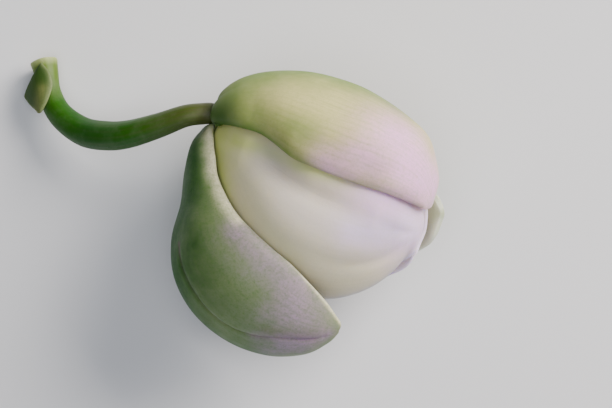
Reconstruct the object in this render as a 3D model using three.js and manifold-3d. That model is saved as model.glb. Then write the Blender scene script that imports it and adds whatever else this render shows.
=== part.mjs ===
// An orchid flower (a moth orchid's) on the day its bud opens, picked with its own stalk and laid down.
// Two broad cupped petals still close round the lip and the column. Of the three sepals outside them, the dorsal
// one and the far lateral one still hug the petals, and the near lateral one has swung open.
//
// Millimetres, +Z up. The origin is the middle of the small flat spot on which the far lateral sepal rests,
// straight below the heart of the flower. Every organ is drawn about that heart and raised by HEART_HEIGHT.
import * as THREE from "three";
import { mergeVertices } from "three/addons/utils/BufferGeometryUtils.js";
import Module from "manifold-3d";

const wasm = await Module();
wasm.setup();

// Driving dimensions.
const HEART_HEIGHT = 14.8;
const SEPAL = { thickness: 1.1, edge: 0.7 };
const PETAL = { thickness: 0.8, edge: 0.6 };
const RECEPTACLE = [-14.2, 11.0, 0.0];
const FLOWER_AXIS = [0.777, -0.629, 0.0];
const NECK_RADIUS = 0.85;
const ROWS = 22;
const COLUMNS = 14;

const at = (p) => new THREE.Vector3(...p);

// A closed body from a grid of outer and inner points, which a rim joins all the way round.
function slab(outer, inner) {
  const rows = outer.length;
  const columns = outer[0].length;
  const index = (side, i, j) => side * rows * columns + i * columns + j;
  const triangles = [];
  const quad = (a, b, c, d) => triangles.push(a, b, c, a, c, d);
  for (let i = 0; i + 1 < rows; i++) {
    for (let j = 0; j + 1 < columns; j++) {
      quad(index(0, i, j), index(0, i + 1, j), index(0, i + 1, j + 1), index(0, i, j + 1));
      triangles.push(index(1, i, j), index(1, i + 1, j + 1), index(1, i + 1, j));
      triangles.push(index(1, i, j), index(1, i, j + 1), index(1, i + 1, j + 1));
    }
  }
  const rim = [];
  for (let j = 0; j < columns; j++) rim.push([0, j]);
  for (let i = 1; i < rows; i++) rim.push([i, columns - 1]);
  for (let j = columns - 2; j >= 0; j--) rim.push([rows - 1, j]);
  for (let i = rows - 2; i > 0; i--) rim.push([i, 0]);
  rim.forEach(([i, j], k) => {
    const [ni, nj] = rim[(k + 1) % rim.length];
    quad(index(0, i, j), index(0, ni, nj), index(1, ni, nj), index(1, i, j));
  });
  const geometry = new THREE.BufferGeometry().setFromPoints([...outer.flat(), ...inner.flat()]);
  geometry.setIndex(triangles);
  return geometry;
}

// The middle surface of a blade. Each rib is an arc from the midrib, square to `out` there, to the near margin
// (v = 1) and another to the far margin (v = -1); the ribs are joined by splines from the base (u = 0) to the tip.
// A groove may run along the midrib, deepest halfway.
function bladeSurface({ ribs, groove = 0 }) {
  const spline = (key) => new THREE.CatmullRomCurve3(ribs.map((rib) => at(rib[key])), false, "catmullrom", 0.5);
  const [nears, mids, fars, outs] = ["near", "mid", "far", "out"].map(spline);
  return (u, v) => {
    const mid = mids.getPoint(u);
    const out = outs.getPoint(u).normalize();
    const chord = (v > 0 ? nears : fars).getPoint(u).sub(mid);
    const drop = -chord.dot(out);
    const across = chord.clone().addScaledVector(out, drop);
    const reach = across.length();
    across.divideScalar(reach);
    const bend = Math.max(2 * Math.atan2(drop, reach), 1e-4);
    const radius = Math.hypot(drop, reach) / (2 * Math.sin(bend / 2));
    const angle = bend * Math.abs(v);
    const dip = groove * Math.sin(Math.PI * u);
    return mid
      .addScaledVector(across, radius * Math.sin(angle))
      .addScaledVector(out, radius * (Math.cos(angle) - 1) - dip * Math.exp(-((v / 0.1) ** 2)));
  };
}

// A blade given its thickness, thinner towards its edges, and flattened where it meets the floor.
function blade(shape) {
  const { thickness, edge, rows = ROWS, columns = COLUMNS, floor = -Infinity } = shape;
  const surface = bladeSurface(shape);
  const us = Array.from({ length: rows + 1 }, (_, i) => i / rows);
  const vs = Array.from({ length: columns + 1 }, (_, j) => {
    const w = 1 - (2 * j) / columns;
    return Math.sign(w) * Math.abs(w) ** 1.2;
  });
  const half = (v) => (thickness - (thickness - edge) * v ** 4) / 2;
  const middle = us.map((u) => vs.map((v) => surface(u, v)));
  middle.forEach((row) => row.forEach((p, j) => (p.z = Math.max(p.z, floor + half(vs[j])))));
  const normal = (i, j) => {
    const du = middle[Math.min(i + 1, rows)][j].clone().sub(middle[Math.max(i - 1, 0)][j]);
    const dv = middle[i][Math.min(j + 1, columns)].clone().sub(middle[i][Math.max(j - 1, 0)]);
    return du.cross(dv).normalize();
  };
  const face = (sign) =>
    middle.map((row, i) =>
      row.map((p, j) => {
        const q = p.clone().addScaledVector(normal(i, j), sign * half(vs[j]));
        q.z = q.z < floor + 0.03 ? floor : q.z;
        return q;
      }),
    );
  return slab(face(1), face(-1));
}

// A round stem through `path`, a list of [x, y, z, radius], closed by a cap at each end.
function stem(path, sides, steps) {
  const spine = new THREE.CatmullRomCurve3(path.map(([x, y, z]) => at([x, y, z])), false, "catmullrom", 0.5);
  const girth = new THREE.CatmullRomCurve3(path.map((p) => at([p[3], 0, 0])), false, "catmullrom", 0.5);
  const up = new THREE.Vector3(0, 0, 1);
  const points = [];
  for (let i = 0; i <= steps; i++) {
    const u = i / steps;
    const centre = spine.getPoint(u);
    const along = spine.getTangent(u);
    const side = along.clone().cross(up).normalize();
    const top = side.clone().cross(along).normalize();
    const radius = girth.getPoint(u).x;
    for (let k = 0; k < sides; k++) {
      const angle = (2 * Math.PI * k) / sides;
      points.push(
        centre.clone().addScaledVector(side, radius * Math.cos(angle)).addScaledVector(top, radius * Math.sin(angle)),
      );
    }
  }
  const base = points.length;
  points.push(spine.getPoint(0), spine.getPoint(1));
  const triangles = [];
  for (let k = 0; k < sides; k++) {
    const n = (k + 1) % sides;
    for (let i = 0; i < steps; i++) {
      const [a, b, c, d] = [i * sides + k, i * sides + n, (i + 1) * sides + n, (i + 1) * sides + k];
      triangles.push(a, c, b, a, d, c);
    }
    triangles.push(base, k, n, base + 1, steps * sides + n, steps * sides + k);
  }
  const geometry = new THREE.BufferGeometry().setFromPoints(points);
  geometry.setIndex(triangles);
  return geometry;
}

const rib = (near, mid, far, out) => ({ near, mid, far, out: at(out).normalize().toArray() });

const blades = {
  // It wraps the front of the petals, its midrib along the top of the flower.
  dorsal_sepal: {
    ...SEPAL,
    color: 0xc9c99a,
    ribs: [
      rib([-14.05, 10.38, 1.4], [-12.93, 11.58, 0.73], [-13.0, 11.49, -0.89], [0.545, 0.673, 0.5]),
      rib([-13.9, 9.5, 2.4], [-13.2, 12.6, 2.6], [-12.4, 12.2, -2.4], [-0.2, 0.8, 0.55]),
      rib([-10.8, 8.9, 6.8], [-10.4, 14.2, 4.4], [-9.6, 13.2, -3.6], [-0.25, 0.8, 0.55]),
      rib([-7.8, 7.9, 8.9], [-6.4, 14.8, 5.6], [-5.4, 13.8, -3.8], [-0.1, 0.8, 0.6]),
      rib([-4.05, 5.1, 13.0], [-1.5, 14.3, 6.6], [-1.0, 13.6, -4.4], [0.0, 0.8, 0.6]),
      rib([0.4, 3.2, 14.3], [3.6, 12.4, 7.6], [4.25, 12.95, -5.05], [0.2, 0.8, 0.6]),
      rib([4.7, 1.45, 14.0], [8.0, 10.4, 8.2], [9.15, 10.6, -4.0], [0.5, 0.7, 0.5]),
      rib([10.1, -0.4, 11.0], [13.0, 7.4, 6.4], [13.2, 6.8, -3.6], [0.75, 0.5, 0.4]),
      rib([13.0, -1.6, 7.3], [15.0, 2.2, 4.2], [15.3, 2.8, -2.4], [0.9, 0.1, 0.3]),
      rib([14.3, -2.0, 3.7], [14.85, -1.5, 2.6], [15.4, -0.6, 1.0], [0.9, -0.1, 0.2]),
    ],
  },
  petal_front: {
    ...PETAL,
    color: 0xe6e0d6,
    ribs: [
      rib([-12.54, 10.66, 0.55], [-12.91, 10.21, 0.93], [-13.33, 9.69, 0.82], [0.13, 0.16, 0.98]),
      rib([-11.6, 10.4, 2.2], [-12.7, 8.8, 2.4], [-13.9, 7.4, 0.8], [-0.4, -0.1, 0.9]),
      rib([-9.0, 10.4, 4.8], [-11.3, 6.6, 5.4], [-13.0, 3.6, -1.6], [-0.6, 0.1, 0.8]),
      rib([-4.5, 10.6, 5.9], [-7.4, 4.6, 9.7], [-12.35, -3.1, -2.95], [-7.6, 5.1, 9.7]),
      rib([0.5, 11.2, 6.5], [-2.0, 0.6, 13.2], [-8.35, -8.75, -5.6], [-2.2, 1.1, 13.2]),
      rib([5.6, 9.4, 7.2], [4.4, -2.2, 12.6], [-1.4, -11.8, -6.5], [4.2, -1.7, 12.6]),
      rib([10.0, 6.0, 6.4], [9.3, -3.8, 9.3], [6.1, -10.7, -5.9], [9.1, -3.3, 9.3]),
      rib([12.7, 1.8, 4.5], [12.4, -4.6, 4.9], [11.7, -8.6, 0.3], [11.8, -4.0, 4.9]),
      rib([13.4, -2.4, 1.6], [13.55, -4.6, 1.2], [13.05, -6.6, 1.1], [12.7, -3.9, 1.2]),
    ],
  },
  petal_back: {
    ...PETAL,
    color: 0xe6e0d6,
    ribs: [
      rib([-13.01, 10.09, -0.95], [-12.6, 10.59, -0.66], [-12.43, 10.8, 0.0], [0.45, 0.56, -0.7]),
      rib([-13.6, 7.2, -1.8], [-11.8, 9.4, -3.2], [-10.9, 11.6, 0.2], [-0.3, 0.2, -0.95]),
      rib([-14.7, 3.1, -0.4], [-10.2, 6.8, -6.6], [-7.6, 12.4, 1.2], [-0.6, 0.1, -0.8]),
      rib([-14.0, -3.3, -1.0], [-6.6, 4.6, -10.2], [-3.0, 13.3, 2.0], [-6.8, 5.1, -10.2]),
      rib([-10.4, -9.8, -3.5], [-1.5, 0.8, -12.8], [2.0, 13.3, 3.0], [-1.7, 1.3, -13.2]),
      rib([-2.9, -13.2, -6.2], [4.2, -1.8, -12.4], [6.4, 11.6, 4.0], [4.0, -1.3, -12.7]),
      rib([5.7, -12.4, -6.2], [9.2, -3.6, -9.6], [10.6, 8.2, 4.2], [9.0, -3.1, -9.6]),
      rib([11.7, -9.0, -0.5], [12.4, -4.6, -5.0], [13.4, 3.4, 3.6], [12.2, -4.1, -5.0]),
      rib([13.7, -6.9, 0.2], [14.1, -4.8, -0.4], [13.95, -2.1, 0.7], [13.75, -4.3, -0.3]),
    ],
  },
  // The open one: a deep groove runs along its midrib.
  lateral_sepal_open: {
    ...SEPAL,
    groove: 0.5,
    color: 0x93a070,
    rows: 26,
    ribs: [
      rib([-14.35, 9.75, 1.15], [-14.6, 9.3, 0.3], [-14.5, 9.6, -0.85], [-0.62, -0.765, 0.17]),
      rib([-14.5, 8.1, 2.4], [-15.5, 8.25, 0.6], [-15.1, 8.4, -1.6], [-0.75, 0.3, 0.3]),
      rib([-14.2, 5.6, 4.2], [-16.6, 6.4, 1.4], [-16.3, 6.6, -3.0], [-0.85, 0.25, 0.35]),
      rib([-13.9, 3.2, 4.9], [-17.0, 3.0, 2.4], [-17.1, 2.8, -5.0], [-0.9, 0.0, 0.45]),
      rib([-12.9, 0.8, 6.2], [-17.1, -0.9, 3.6], [-17.6, -1.6, -5.6], [-0.85, -0.1, 0.5]),
      rib([-11.2, -2.1, 8.9], [-18.0, -5.2, 5.0], [-18.4, -6.0, -6.0], [-0.8, -0.2, 0.52]),
      rib([-9.0, -4.5, 10.6], [-17.8, -9.4, 5.9], [-17.4, -11.0, -6.2], [-0.68, -0.4, 0.6]),
      rib([-6.4, -6.9, 11.3], [-15.4, -13.7, 6.8], [-14.6, -14.8, -6.0], [-0.55, -0.55, 0.62]),
      rib([-3.6, -9.3, 11.4], [-11.2, -17.4, 7.2], [-10.4, -17.6, -5.0], [-0.4, -0.68, 0.62]),
      rib([-1.3, -11.8, 9.8], [-6.8, -19.3, 7.2], [-6.0, -18.9, -3.4], [-0.2, -0.75, 0.62]),
      rib([0.8, -14.2, 8.2], [-2.4, -19.6, 6.8], [-1.8, -19.4, -0.6], [0.0, -0.75, 0.65]),
      rib([2.2, -16.2, 6.6], [0.8, -18.6, 6.0], [0.7, -19.3, 2.6], [0.2, -0.7, 0.65]),
      rib([2.8, -17.0, 5.8], [2.4, -17.6, 5.5], [2.1, -18.0, 4.9], [0.4, -0.6, 0.65]),
    ],
  },
  // It closes the back of the flower, which rests on it.
  lateral_sepal_closed: {
    ...SEPAL,
    color: 0xa9b088,
    floor: -HEART_HEIGHT,
    ribs: [
      rib([-13.29, 11.41, -1.14], [-13.89, 10.67, -1.45], [-14.41, 10.02, -1.14], [0.0, 0.0, -1.0]),
      rib([-11.4, 11.2, -5.2], [-12.8, 10.0, -5.4], [-14.6, 7.4, -3.6], [-0.35, 0.35, -0.87]),
      rib([-6.6, 13.4, -6.2], [-9.4, 8.2, -10.0], [-14.0, 1.6, -7.0], [-0.5, 0.45, -0.74]),
      rib([-1.6, 13.4, -6.8], [-4.0, 6.0, -13.8], [-9.6, -4.4, -10.9], [-0.2, 0.3, -0.93]),
      rib([4.2, 12.0, -7.2], [1.6, 3.0, -14.6], [-2.6, -8.15, -12.5], [0.05, 0.18, -0.98]),
      rib([9.8, 9.2, -6.6], [7.2, 0.8, -13.3], [4.7, -9.8, -10.85], [0.48, 0.1, -0.87]),
      rib([13.8, 5.0, -5.6], [12.4, -1.0, -8.8], [10.2, -9.0, -7.4], [0.8, 0.0, -0.6]),
      rib([15.2, 1.2, -4.6], [15.1, -2.3, -4.6], [14.8, -6.8, -4.2], [0.8, -0.1, -0.55]),
      rib([16.2, -0.7, -3.4], [16.95, -2.5, -3.2], [16.2, -4.7, -3.4], [0.7, -0.1, -0.7]),
    ],
  },
  floral_bract: {
    thickness: 0.7,
    edge: 0.6,
    rows: 10,
    columns: 10,
    color: 0x9a8f6e,
    ribs: [
      rib([-38.7, 18.3, -10.2], [-39.95, 16.15, -11.0], [-40.95, 13.8, -12.5], [-0.73, 0.03, 0.68]),
      rib([-37.4, 17.0, -10.05], [-39.6, 15.0, -10.65], [-40.5, 13.0, -12.1], [-0.73, 0.03, 0.68]),
      rib([-36.95, 15.2, -9.8], [-39.05, 13.6, -10.0], [-39.85, 12.3, -11.3], [-0.73, 0.03, 0.68]),
      rib([-37.45, 13.2, -9.25], [-38.75, 12.3, -9.65], [-39.25, 11.8, -10.4], [-0.73, 0.03, 0.68]),
      rib([-38.3, 11.5, -9.25], [-38.55, 11.3, -9.4], [-38.7, 11.2, -9.7], [-0.73, 0.03, 0.68]),
    ],
  },
};

// Joining and cutting, for the organs that are more than one simple body.
function solid(geometry) {
  const plain = new THREE.BufferGeometry();
  plain.setAttribute("position", geometry.getAttribute("position"));
  plain.setIndex(geometry.getIndex());
  const merged = mergeVertices(plain, 1e-4);
  const index = merged.getIndex().array;
  const triangles = [];
  for (let i = 0; i < index.length; i += 3) {
    const [a, b, c] = [index[i], index[i + 1], index[i + 2]];
    if (a !== b && b !== c && c !== a) triangles.push(a, b, c);
  }
  const vertProperties = new Float32Array(merged.getAttribute("position").array);
  return new wasm.Manifold(new wasm.Mesh({ numProp: 3, vertProperties, triVerts: new Uint32Array(triangles) }));
}

function geometryOf(body) {
  const mesh = body.getMesh();
  const geometry = new THREE.BufferGeometry();
  geometry.setAttribute("position", new THREE.BufferAttribute(new Float32Array(mesh.vertProperties), 3));
  geometry.setIndex(Array.from(mesh.triVerts));
  return geometry;
}

const ellipsoid = ([x, y, z], [a, b, c], sides = 16) =>
  solid(new THREE.SphereGeometry(1, sides, sides / 2).scale(a, b, c).translate(x, y, z));

function meshOf(name, geometry, color, roughness = 0.55) {
  geometry.computeVertexNormals();
  const mesh = new THREE.Mesh(geometry, new THREE.MeshStandardMaterial({ color, roughness, metalness: 0 }));
  mesh.name = name;
  return mesh;
}

const flower = new THREE.Group();
flower.name = "orchid_flower";
for (const [name, shape] of Object.entries(blades)) flower.add(meshOf(name, blade(shape), shape.color));

// The stalk, with the ovary's slight swelling under the flower, and the neck on which every organ is seated.
const receptacle = (a) => at(RECEPTACLE).addScaledVector(at(FLOWER_AXIS), a).toArray();
const stalk = [
  [-38.38, 18.58, -12.89, 1.95],
  [-38.06, 17.24, -12.5, 1.75],
  [-37.5, 14.23, -11.9, 1.65],
  [-35.85, 11.11, -10.6, 1.8],
  [-32.63, 8.8, -8.6, 1.98],
  [-29.31, 8.14, -6.2, 2.0],
  [-26.13, 8.29, -3.9, 1.9],
  [-22.0, 9.38, -1.6, 1.7],
  [-18.2, 10.66, 0.1, 1.5],
  [-15.9, 10.98, 0.0, 1.4],
  [-14.95, 11.12, 0.0, 1.05],
  [-14.42, 11.04, 0.0, 0.95],
  [...receptacle(0.1), NECK_RADIUS],
  [...receptacle(0.9), NECK_RADIUS],
  [...receptacle(1.15), 0.6],
];
flower.add(meshOf("pedicel_and_ovary", stem(stalk, 18, 60), 0x5c7a34));

// The lip: a claw, two side lobes standing beside the column, a callus between them, and a broad mid lobe that ends
// in two tendrils.
const LIP_PLANE = -0.6;
const lipRib = ([x, y], width, cup) =>
  rib(
    [x + 0.7 * cup, y + 0.7 * cup, LIP_PLANE + width],
    [x, y, LIP_PLANE],
    [x + 0.7 * cup, y + 0.7 * cup, LIP_PLANE - width],
    [-0.75, -0.65, 0],
  );
const midLobe = {
  ...PETAL,
  columns: 10,
  rows: 20,
  ribs: [
    lipRib([-13.5, 9.0], 0.35, 0.05),
    lipRib([-12.8, 7.3], 0.5, 0.1),
    lipRib([-12.0, 4.8], 1.0, 0.3),
    lipRib([-10.8, 1.9], 1.8, 0.7),
    lipRib([-8.6, -1.3], 3.3, 1.2),
    lipRib([-5.6, -4.1], 3.9, 1.4),
    lipRib([-2.6, -5.9], 2.6, 0.8),
    lipRib([-0.6, -6.5], 0.7, 0.1),
  ],
};
const mirrored = ([x, y, z], side) => [x, y, LIP_PLANE + side * z];
const sideLobe = (side) => ({
  ...PETAL,
  columns: 8,
  rows: 8,
  ribs: [
    [[-12.1, 5.0, 0.5], [-11.5, 3.4, 0.8], [-10.8, 1.8, 0.6]],
    [[-10.9, 6.0, 2.8], [-10.1, 3.9, 3.2], [-9.6, 1.5, 2.8]],
    [[-9.0, 6.6, 4.4], [-8.4, 4.0, 5.2], [-8.0, 1.4, 4.5]],
    [[-7.0, 5.2, 5.2], [-6.8, 4.0, 6.0], [-6.7, 2.8, 5.6]],
  ].map((points) => rib(...points.map((p) => mirrored(p, side)), [-0.6, -0.2, side * 0.75])),
});
const tendril = (side) =>
  stem(
    [
      [-1.4, -6.3, 0.1, 0.4],
      [0.2, -6.7, 0.7, 0.36],
      [1.5, -6.1, 1.6, 0.33],
      [1.9, -4.9, 2.3, 0.3],
    ].map(([x, y, z, r]) => [...mirrored([x, y, z], side), r]),
    10,
    12,
  );
const labellum = [
  solid(blade(sideLobe(1))),
  solid(blade(sideLobe(-1))),
  solid(tendril(1)),
  solid(tendril(-1)),
  ellipsoid([-10.4, 2.7, LIP_PLANE], [1.0, 0.8, 0.7]),
].reduce((body, next) => body.add(next), solid(blade(midLobe)));
flower.add(meshOf("labellum", geometryOf(labellum), 0xe9dfc2));

// The column, the hollow cap over its end, and the pair of pollinia the cap covers.
const column = [
  [-12.95, 9.95, 0.0, 0.42],
  [-12.2, 9.3, -0.1, 0.6],
  [-10.8, 8.0, -0.3, 1.1],
  [-9.2, 6.5, -0.45, 1.55],
  [-7.6, 5.1, -0.6, 1.85],
  [-6.4, 4.0, -0.7, 1.7],
];
flower.add(meshOf("column", stem(column, 18, 24), 0xe4dfd0));

const capFrame = new THREE.Matrix4().compose(
  at([-6.4, 4.0, -0.7]),
  new THREE.Quaternion().setFromUnitVectors(at([0, 1, 0]), at([0.735, -0.675, -0.06]).normalize()),
  at([1, 1, 1]),
);
const placed = (body) => geometryOf(body).applyMatrix4(capFrame);
const above = solid(new THREE.BoxGeometry(6, 3, 6).translate(0, 1.75, 0));
const cap = ellipsoid([0, 0.1, 0], [1.8, 1.75, 1.8], 20).subtract(ellipsoid([0, 0.1, 0], [1.25, 1.2, 1.25], 20));
flower.add(meshOf("anther_cap", placed(cap.intersect(above)), 0xf2eede));
const pollinia = ellipsoid([0, 0.6, 0.42], [0.36, 0.3, 0.36], 12)
  .add(ellipsoid([0, 0.6, -0.42], [0.36, 0.3, 0.36], 12))
  .add(ellipsoid([0, 0.5, 0], [0.25, 0.18, 0.5], 12));
flower.add(meshOf("pollinia", placed(pollinia), 0xd9a928));

flower.position.z = HEART_HEIGHT;

export default flower;
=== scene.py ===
"""An opening moth-orchid flower, picked with its own stalk and laid on a pale table.

Sizes are in millimetres about the flower's heart, and placed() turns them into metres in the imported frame.
"""

import logging
import math
from dataclasses import dataclass
from enum import Enum
from functools import partial
from typing import Any, Callable, Sequence

import bmesh
import bpy
import numpy as np
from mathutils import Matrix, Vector

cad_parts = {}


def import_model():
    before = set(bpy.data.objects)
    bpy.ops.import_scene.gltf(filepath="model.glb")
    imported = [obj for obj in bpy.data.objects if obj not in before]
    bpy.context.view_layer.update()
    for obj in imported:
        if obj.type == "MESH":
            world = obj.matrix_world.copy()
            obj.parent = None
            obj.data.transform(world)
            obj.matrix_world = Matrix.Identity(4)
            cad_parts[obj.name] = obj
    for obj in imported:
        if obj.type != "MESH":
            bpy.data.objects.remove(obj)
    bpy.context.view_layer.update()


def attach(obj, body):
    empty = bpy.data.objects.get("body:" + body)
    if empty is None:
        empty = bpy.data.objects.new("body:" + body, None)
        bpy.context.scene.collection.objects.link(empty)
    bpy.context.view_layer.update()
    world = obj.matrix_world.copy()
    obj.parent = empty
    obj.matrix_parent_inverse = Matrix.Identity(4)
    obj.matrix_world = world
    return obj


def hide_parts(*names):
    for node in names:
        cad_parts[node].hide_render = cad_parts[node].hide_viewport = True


LOG = logging.getLogger("orchid")

MM = 0.001
HEART_HEIGHT = 14.8  # of the heart above the table
ROOT = "root"

# A blade's rows crowd towards its tip with this power.
ROW_CROWDING = 1.5
# The corners of its tip round off with these powers of u and v.
TIP_ONSET, TIP_CORNER = 10, 2.5
# It grows thinner from the midrib to its margins with this power of v.
THINNING = 4
# Its folds fade out at their ends with this power.
FOLD_FADING = 0.7
# The corner that it makes at the midrib: how often it is averaged out, and from which u on this shows.
EASING_PASSES, EASED_FROM = 110, 0.7
# Its unevenness: how many waves, their pitch per millimetre, each one's share of the ripple and the range of
# their phases.
RIPPLES, RIPPLE_PITCH, RIPPLE_SHARE, RIPPLE_PHASE = 7, 0.35, 0.4, 6.28
# The waves die out over this length of u: to nothing at the base but, past the tip, only at this u.
CALM_END, CALM_BEYOND = 0.15, 1.05
# A sheet that comes this near to the table lies flat on it.
FLAT_WITHIN = 0.03

# The attributes that the meshes carry and the materials read.
BLADE_UV, ZONES, ALONG, AROUND = "blade", "zones", "along", "around"

# A node feeds on by its first output, but a colour Mix by its third.
MAIN_OUTPUT = {"ShaderNodeMix": 2}

Point = tuple[float, float, float]
Knot = tuple[float, float, float, float]  # a point and a radius
Spot = tuple[float, float]  # a place in a plane
Pair = tuple[float, float]  # two sizes
Grid = tuple[np.ndarray, np.ndarray]
Node = bpy.types.Node
Socket = bpy.types.NodeSocket
Adder = Callable[..., Node]  # add_node with its tree given


class Zone(Enum):
    """The washes of colour that a petal or sepal carries over its ground colour, some of them painted shade
    and highlights.
    """

    GREEN = 0
    BLUSH = 1
    PALE = 2
    DEEP = 3


class Side(Enum):
    """Which of a mirrored pair of lobes or tendrils is meant."""

    UPPER = 1
    LOWER = -1


GREEN, BLUSH, PALE, DEEP = Zone


def srgb(code: str) -> tuple[float, float, float, float]:
    """Turns a hex colour into linear light.

    Args:
        code: The colour as six hex digits, with or without a leading #.

    Returns:
        Red, green, blue and an alpha of 1.
    """
    code = code.lstrip("#")
    values = [int(code[i : i + 2], 16) / 255 for i in (0, 2, 4)]
    linear = [v / 12.92 if v <= 0.04045 else ((v + 0.055) / 1.055) ** 2.4 for v in values]
    return (linear[0], linear[1], linear[2], 1.0)


def add_node(tree: bpy.types.NodeTree, kind: str, inputs: Any = (), **settings: Any) -> Node:
    """Adds a node, sets what is named and links what feeds it.

    Args:
        tree: The tree that gets the node.
        kind: The node's bl_idname.
        inputs: What its inputs get, in their order or as a dict by name or index. Each is a value, or the
            socket or node that feeds it.
        **settings: Node attributes by name.

    Returns:
        The new node.
    """
    node = tree.nodes.new(kind)
    for name, value in settings.items():
        setattr(node, name, value)
    for key, value in inputs.items() if isinstance(inputs, dict) else enumerate(inputs):
        if isinstance(value, Node):
            value = value.outputs[MAIN_OUTPUT.get(value.bl_idname, 0)]
        if isinstance(value, Socket):
            tree.links.new(value, node.inputs[key])
        else:
            node.inputs[key].default_value = value
    return node


def layered(add: Adder, colour: Any, coats: Sequence[tuple[Any, str]]) -> Any:
    """Lays coats of colour over one another.

    Args:
        add: Adds a node to the material's tree.
        colour: The lowest colour, as linear light or as the node that gives it.
        coats: From the lowest up, the node that says how much of a coat shows, and its hex colour.

    Returns:
        The node that gives the colour on top.
    """
    for share, code in coats:
        mixed = {0: share, 6: colour, 7: srgb(code)}
        colour = add("ShaderNodeMix", mixed, data_type="RGBA", clamp_factor=True)
    return colour


def placed(points: np.ndarray) -> np.ndarray:
    """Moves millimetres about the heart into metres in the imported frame."""
    return (points + np.array([0.0, 0.0, HEART_HEIGHT])) * MM


def spline(points: np.ndarray, at: np.ndarray) -> np.ndarray:
    """Samples a uniform Catmull-Rom spline.

    Args:
        points: The points it passes through, one row each.
        at: Where to sample it, from 0 at the first point to 1 at the last.

    Returns:
        One row for each place sampled.
    """
    padded = np.vstack([2 * points[0] - points[1], points, 2 * points[-1] - points[-2]])
    place = np.clip(at, 0, 1) * (len(points) - 1)
    cell = np.minimum(place.astype(int), len(points) - 2)
    w = (place - cell)[..., None]
    p0, p1, p2, p3 = (padded[cell + k] for k in range(4))
    t0, t1 = (p2 - p0) / 2, (p3 - p1) / 2
    return p1 + t0 * w + (3 * (p2 - p1) - 2 * t0 - t1) * w**2 + (2 * (p1 - p2) + t0 + t1) * w**3


def unit(vectors: np.ndarray) -> np.ndarray:
    """Scales vectors to a length of 1."""
    return vectors / np.maximum(np.linalg.norm(vectors, axis=-1, keepdims=True), 1e-12)


def distance_to_path(points: np.ndarray, path: np.ndarray) -> tuple[np.ndarray, np.ndarray]:
    """Measures how far points lie from a path of straight stretches.

    Args:
        points: The points, in the last axis.
        path: The path's corners, one row each.

    Returns:
        The distance of each point, and how far along the path its nearest place is, from 0 to 1.
    """
    best = np.linalg.norm(points - path[0], axis=-1)
    along = np.zeros(best.shape)
    for k, (a, b) in enumerate(zip(path[:-1], path[1:])):
        run = b - a
        t = np.clip((points - a) @ run / max(run @ run, 1e-12), 0, 1)
        gap = np.linalg.norm(points - (a + t[..., None] * run), axis=-1)
        nearer = gap < best
        best = np.where(nearer, gap, best)
        along = np.where(nearer, (k + t) / (len(path) - 1), along)
    return best, along


def mesh_object(
    name: str, points: np.ndarray, faces: Sequence[Sequence[int]], material: bpy.types.Material
) -> bpy.types.Object:
    """Makes a smooth-shaded mesh object in the scene.

    Args:
        name: The object's name.
        points: Its vertices in metres.
        faces: Each face's vertex numbers.
        material: Its one material.

    Returns:
        The new object.
    """
    mesh = bpy.data.meshes.new(name)
    mesh.from_pydata([tuple(p) for p in points.tolist()], [], [tuple(f) for f in faces])
    mesh.shade_smooth()
    mesh.materials.append(material)
    piece = bpy.data.objects.new(name, mesh)
    bpy.context.scene.collection.objects.link(piece)
    return piece


def ring_faces(rings: int, sides: int) -> list[tuple[int, ...]]:
    """Lists the faces of a tube of rings of vertices.

    Args:
        rings: How many steps the tube has along its length.
        sides: How many vertices each ring has.

    Returns:
        Each face's vertex numbers.
    """
    pairs = [(j, (j + 1) % sides) for j in range(sides)]
    starts = range(0, rings * sides, sides)
    return [(s + j, s + n, s + sides + n, s + sides + j) for s in starts for j, n in pairs]


def closed_up(piece: bpy.types.Object) -> bpy.types.Object:
    """Merges doubled vertices and turns every face outwards.

    Args:
        piece: The piece, whose mesh is changed.

    Returns:
        The same piece.
    """
    shape = bmesh.new()
    shape.from_mesh(piece.data)
    bmesh.ops.remove_doubles(shape, verts=shape.verts, dist=1e-7)
    bmesh.ops.recalc_face_normals(shape, faces=shape.faces)
    shape.to_mesh(piece.data)
    shape.free()
    piece.data.shade_smooth()
    return piece


def kept(piece: bpy.types.Object, node: str) -> bpy.types.Object:
    """Makes a piece ride with the flower and stand for its CAD node, whose part it hides.

    Args:
        piece: The finished piece.
        node: The CAD node that it stands for.

    Returns:
        The piece.
    """
    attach(piece, ROOT)
    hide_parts(node)
    LOG.info("%s: %d vertices", piece.name, len(piece.data.vertices))
    return piece


@dataclass(frozen=True)
class Rib:
    """One cross-section of a blade: an arc from the midrib to each margin, square to `out` at the midrib."""

    near: Point
    mid: Point
    far: Point
    out: Point


@dataclass(frozen=True)
class Fold:
    """A valley (positive depth) or ridge (negative) along a path on a blade, given in its u and v."""

    path: tuple[Spot, ...]
    depth: float
    width: float
    fade: float = 0.2


@dataclass(frozen=True)
class Wash:
    """A soft patch of colour round a path on a blade, given in its u and v."""

    zone: Zone
    path: tuple[Spot, ...]
    radius: float
    strength: float = 1.0


@dataclass(frozen=True)
class Finish:
    """What a surface is made of: one procedural material, built once and shared by all that have it."""

    name: str

    def material(self) -> bpy.types.Material:
        """Builds the material the first time, and finds it after that.

        Returns:
            The material.
        """
        material = bpy.data.materials.get(self.name)
        if not material:
            material = bpy.data.materials.new(self.name)
            material.use_nodes = True
            material.node_tree.nodes.clear()
            add = partial(add_node, material.node_tree)
            place = add("ShaderNodeTexCoord").outputs["Object"]
            add("ShaderNodeOutputMaterial", {"Surface": self.shader(add, place)})
        return material

    def shader(self, add: Adder, place: Socket) -> Node:
        """Wires the finish's shader.

        Args:
            add: Adds a node to the material's tree.
            place: The object coordinates.

        Returns:
            The shader node.
        """
        raise NotImplementedError


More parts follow.
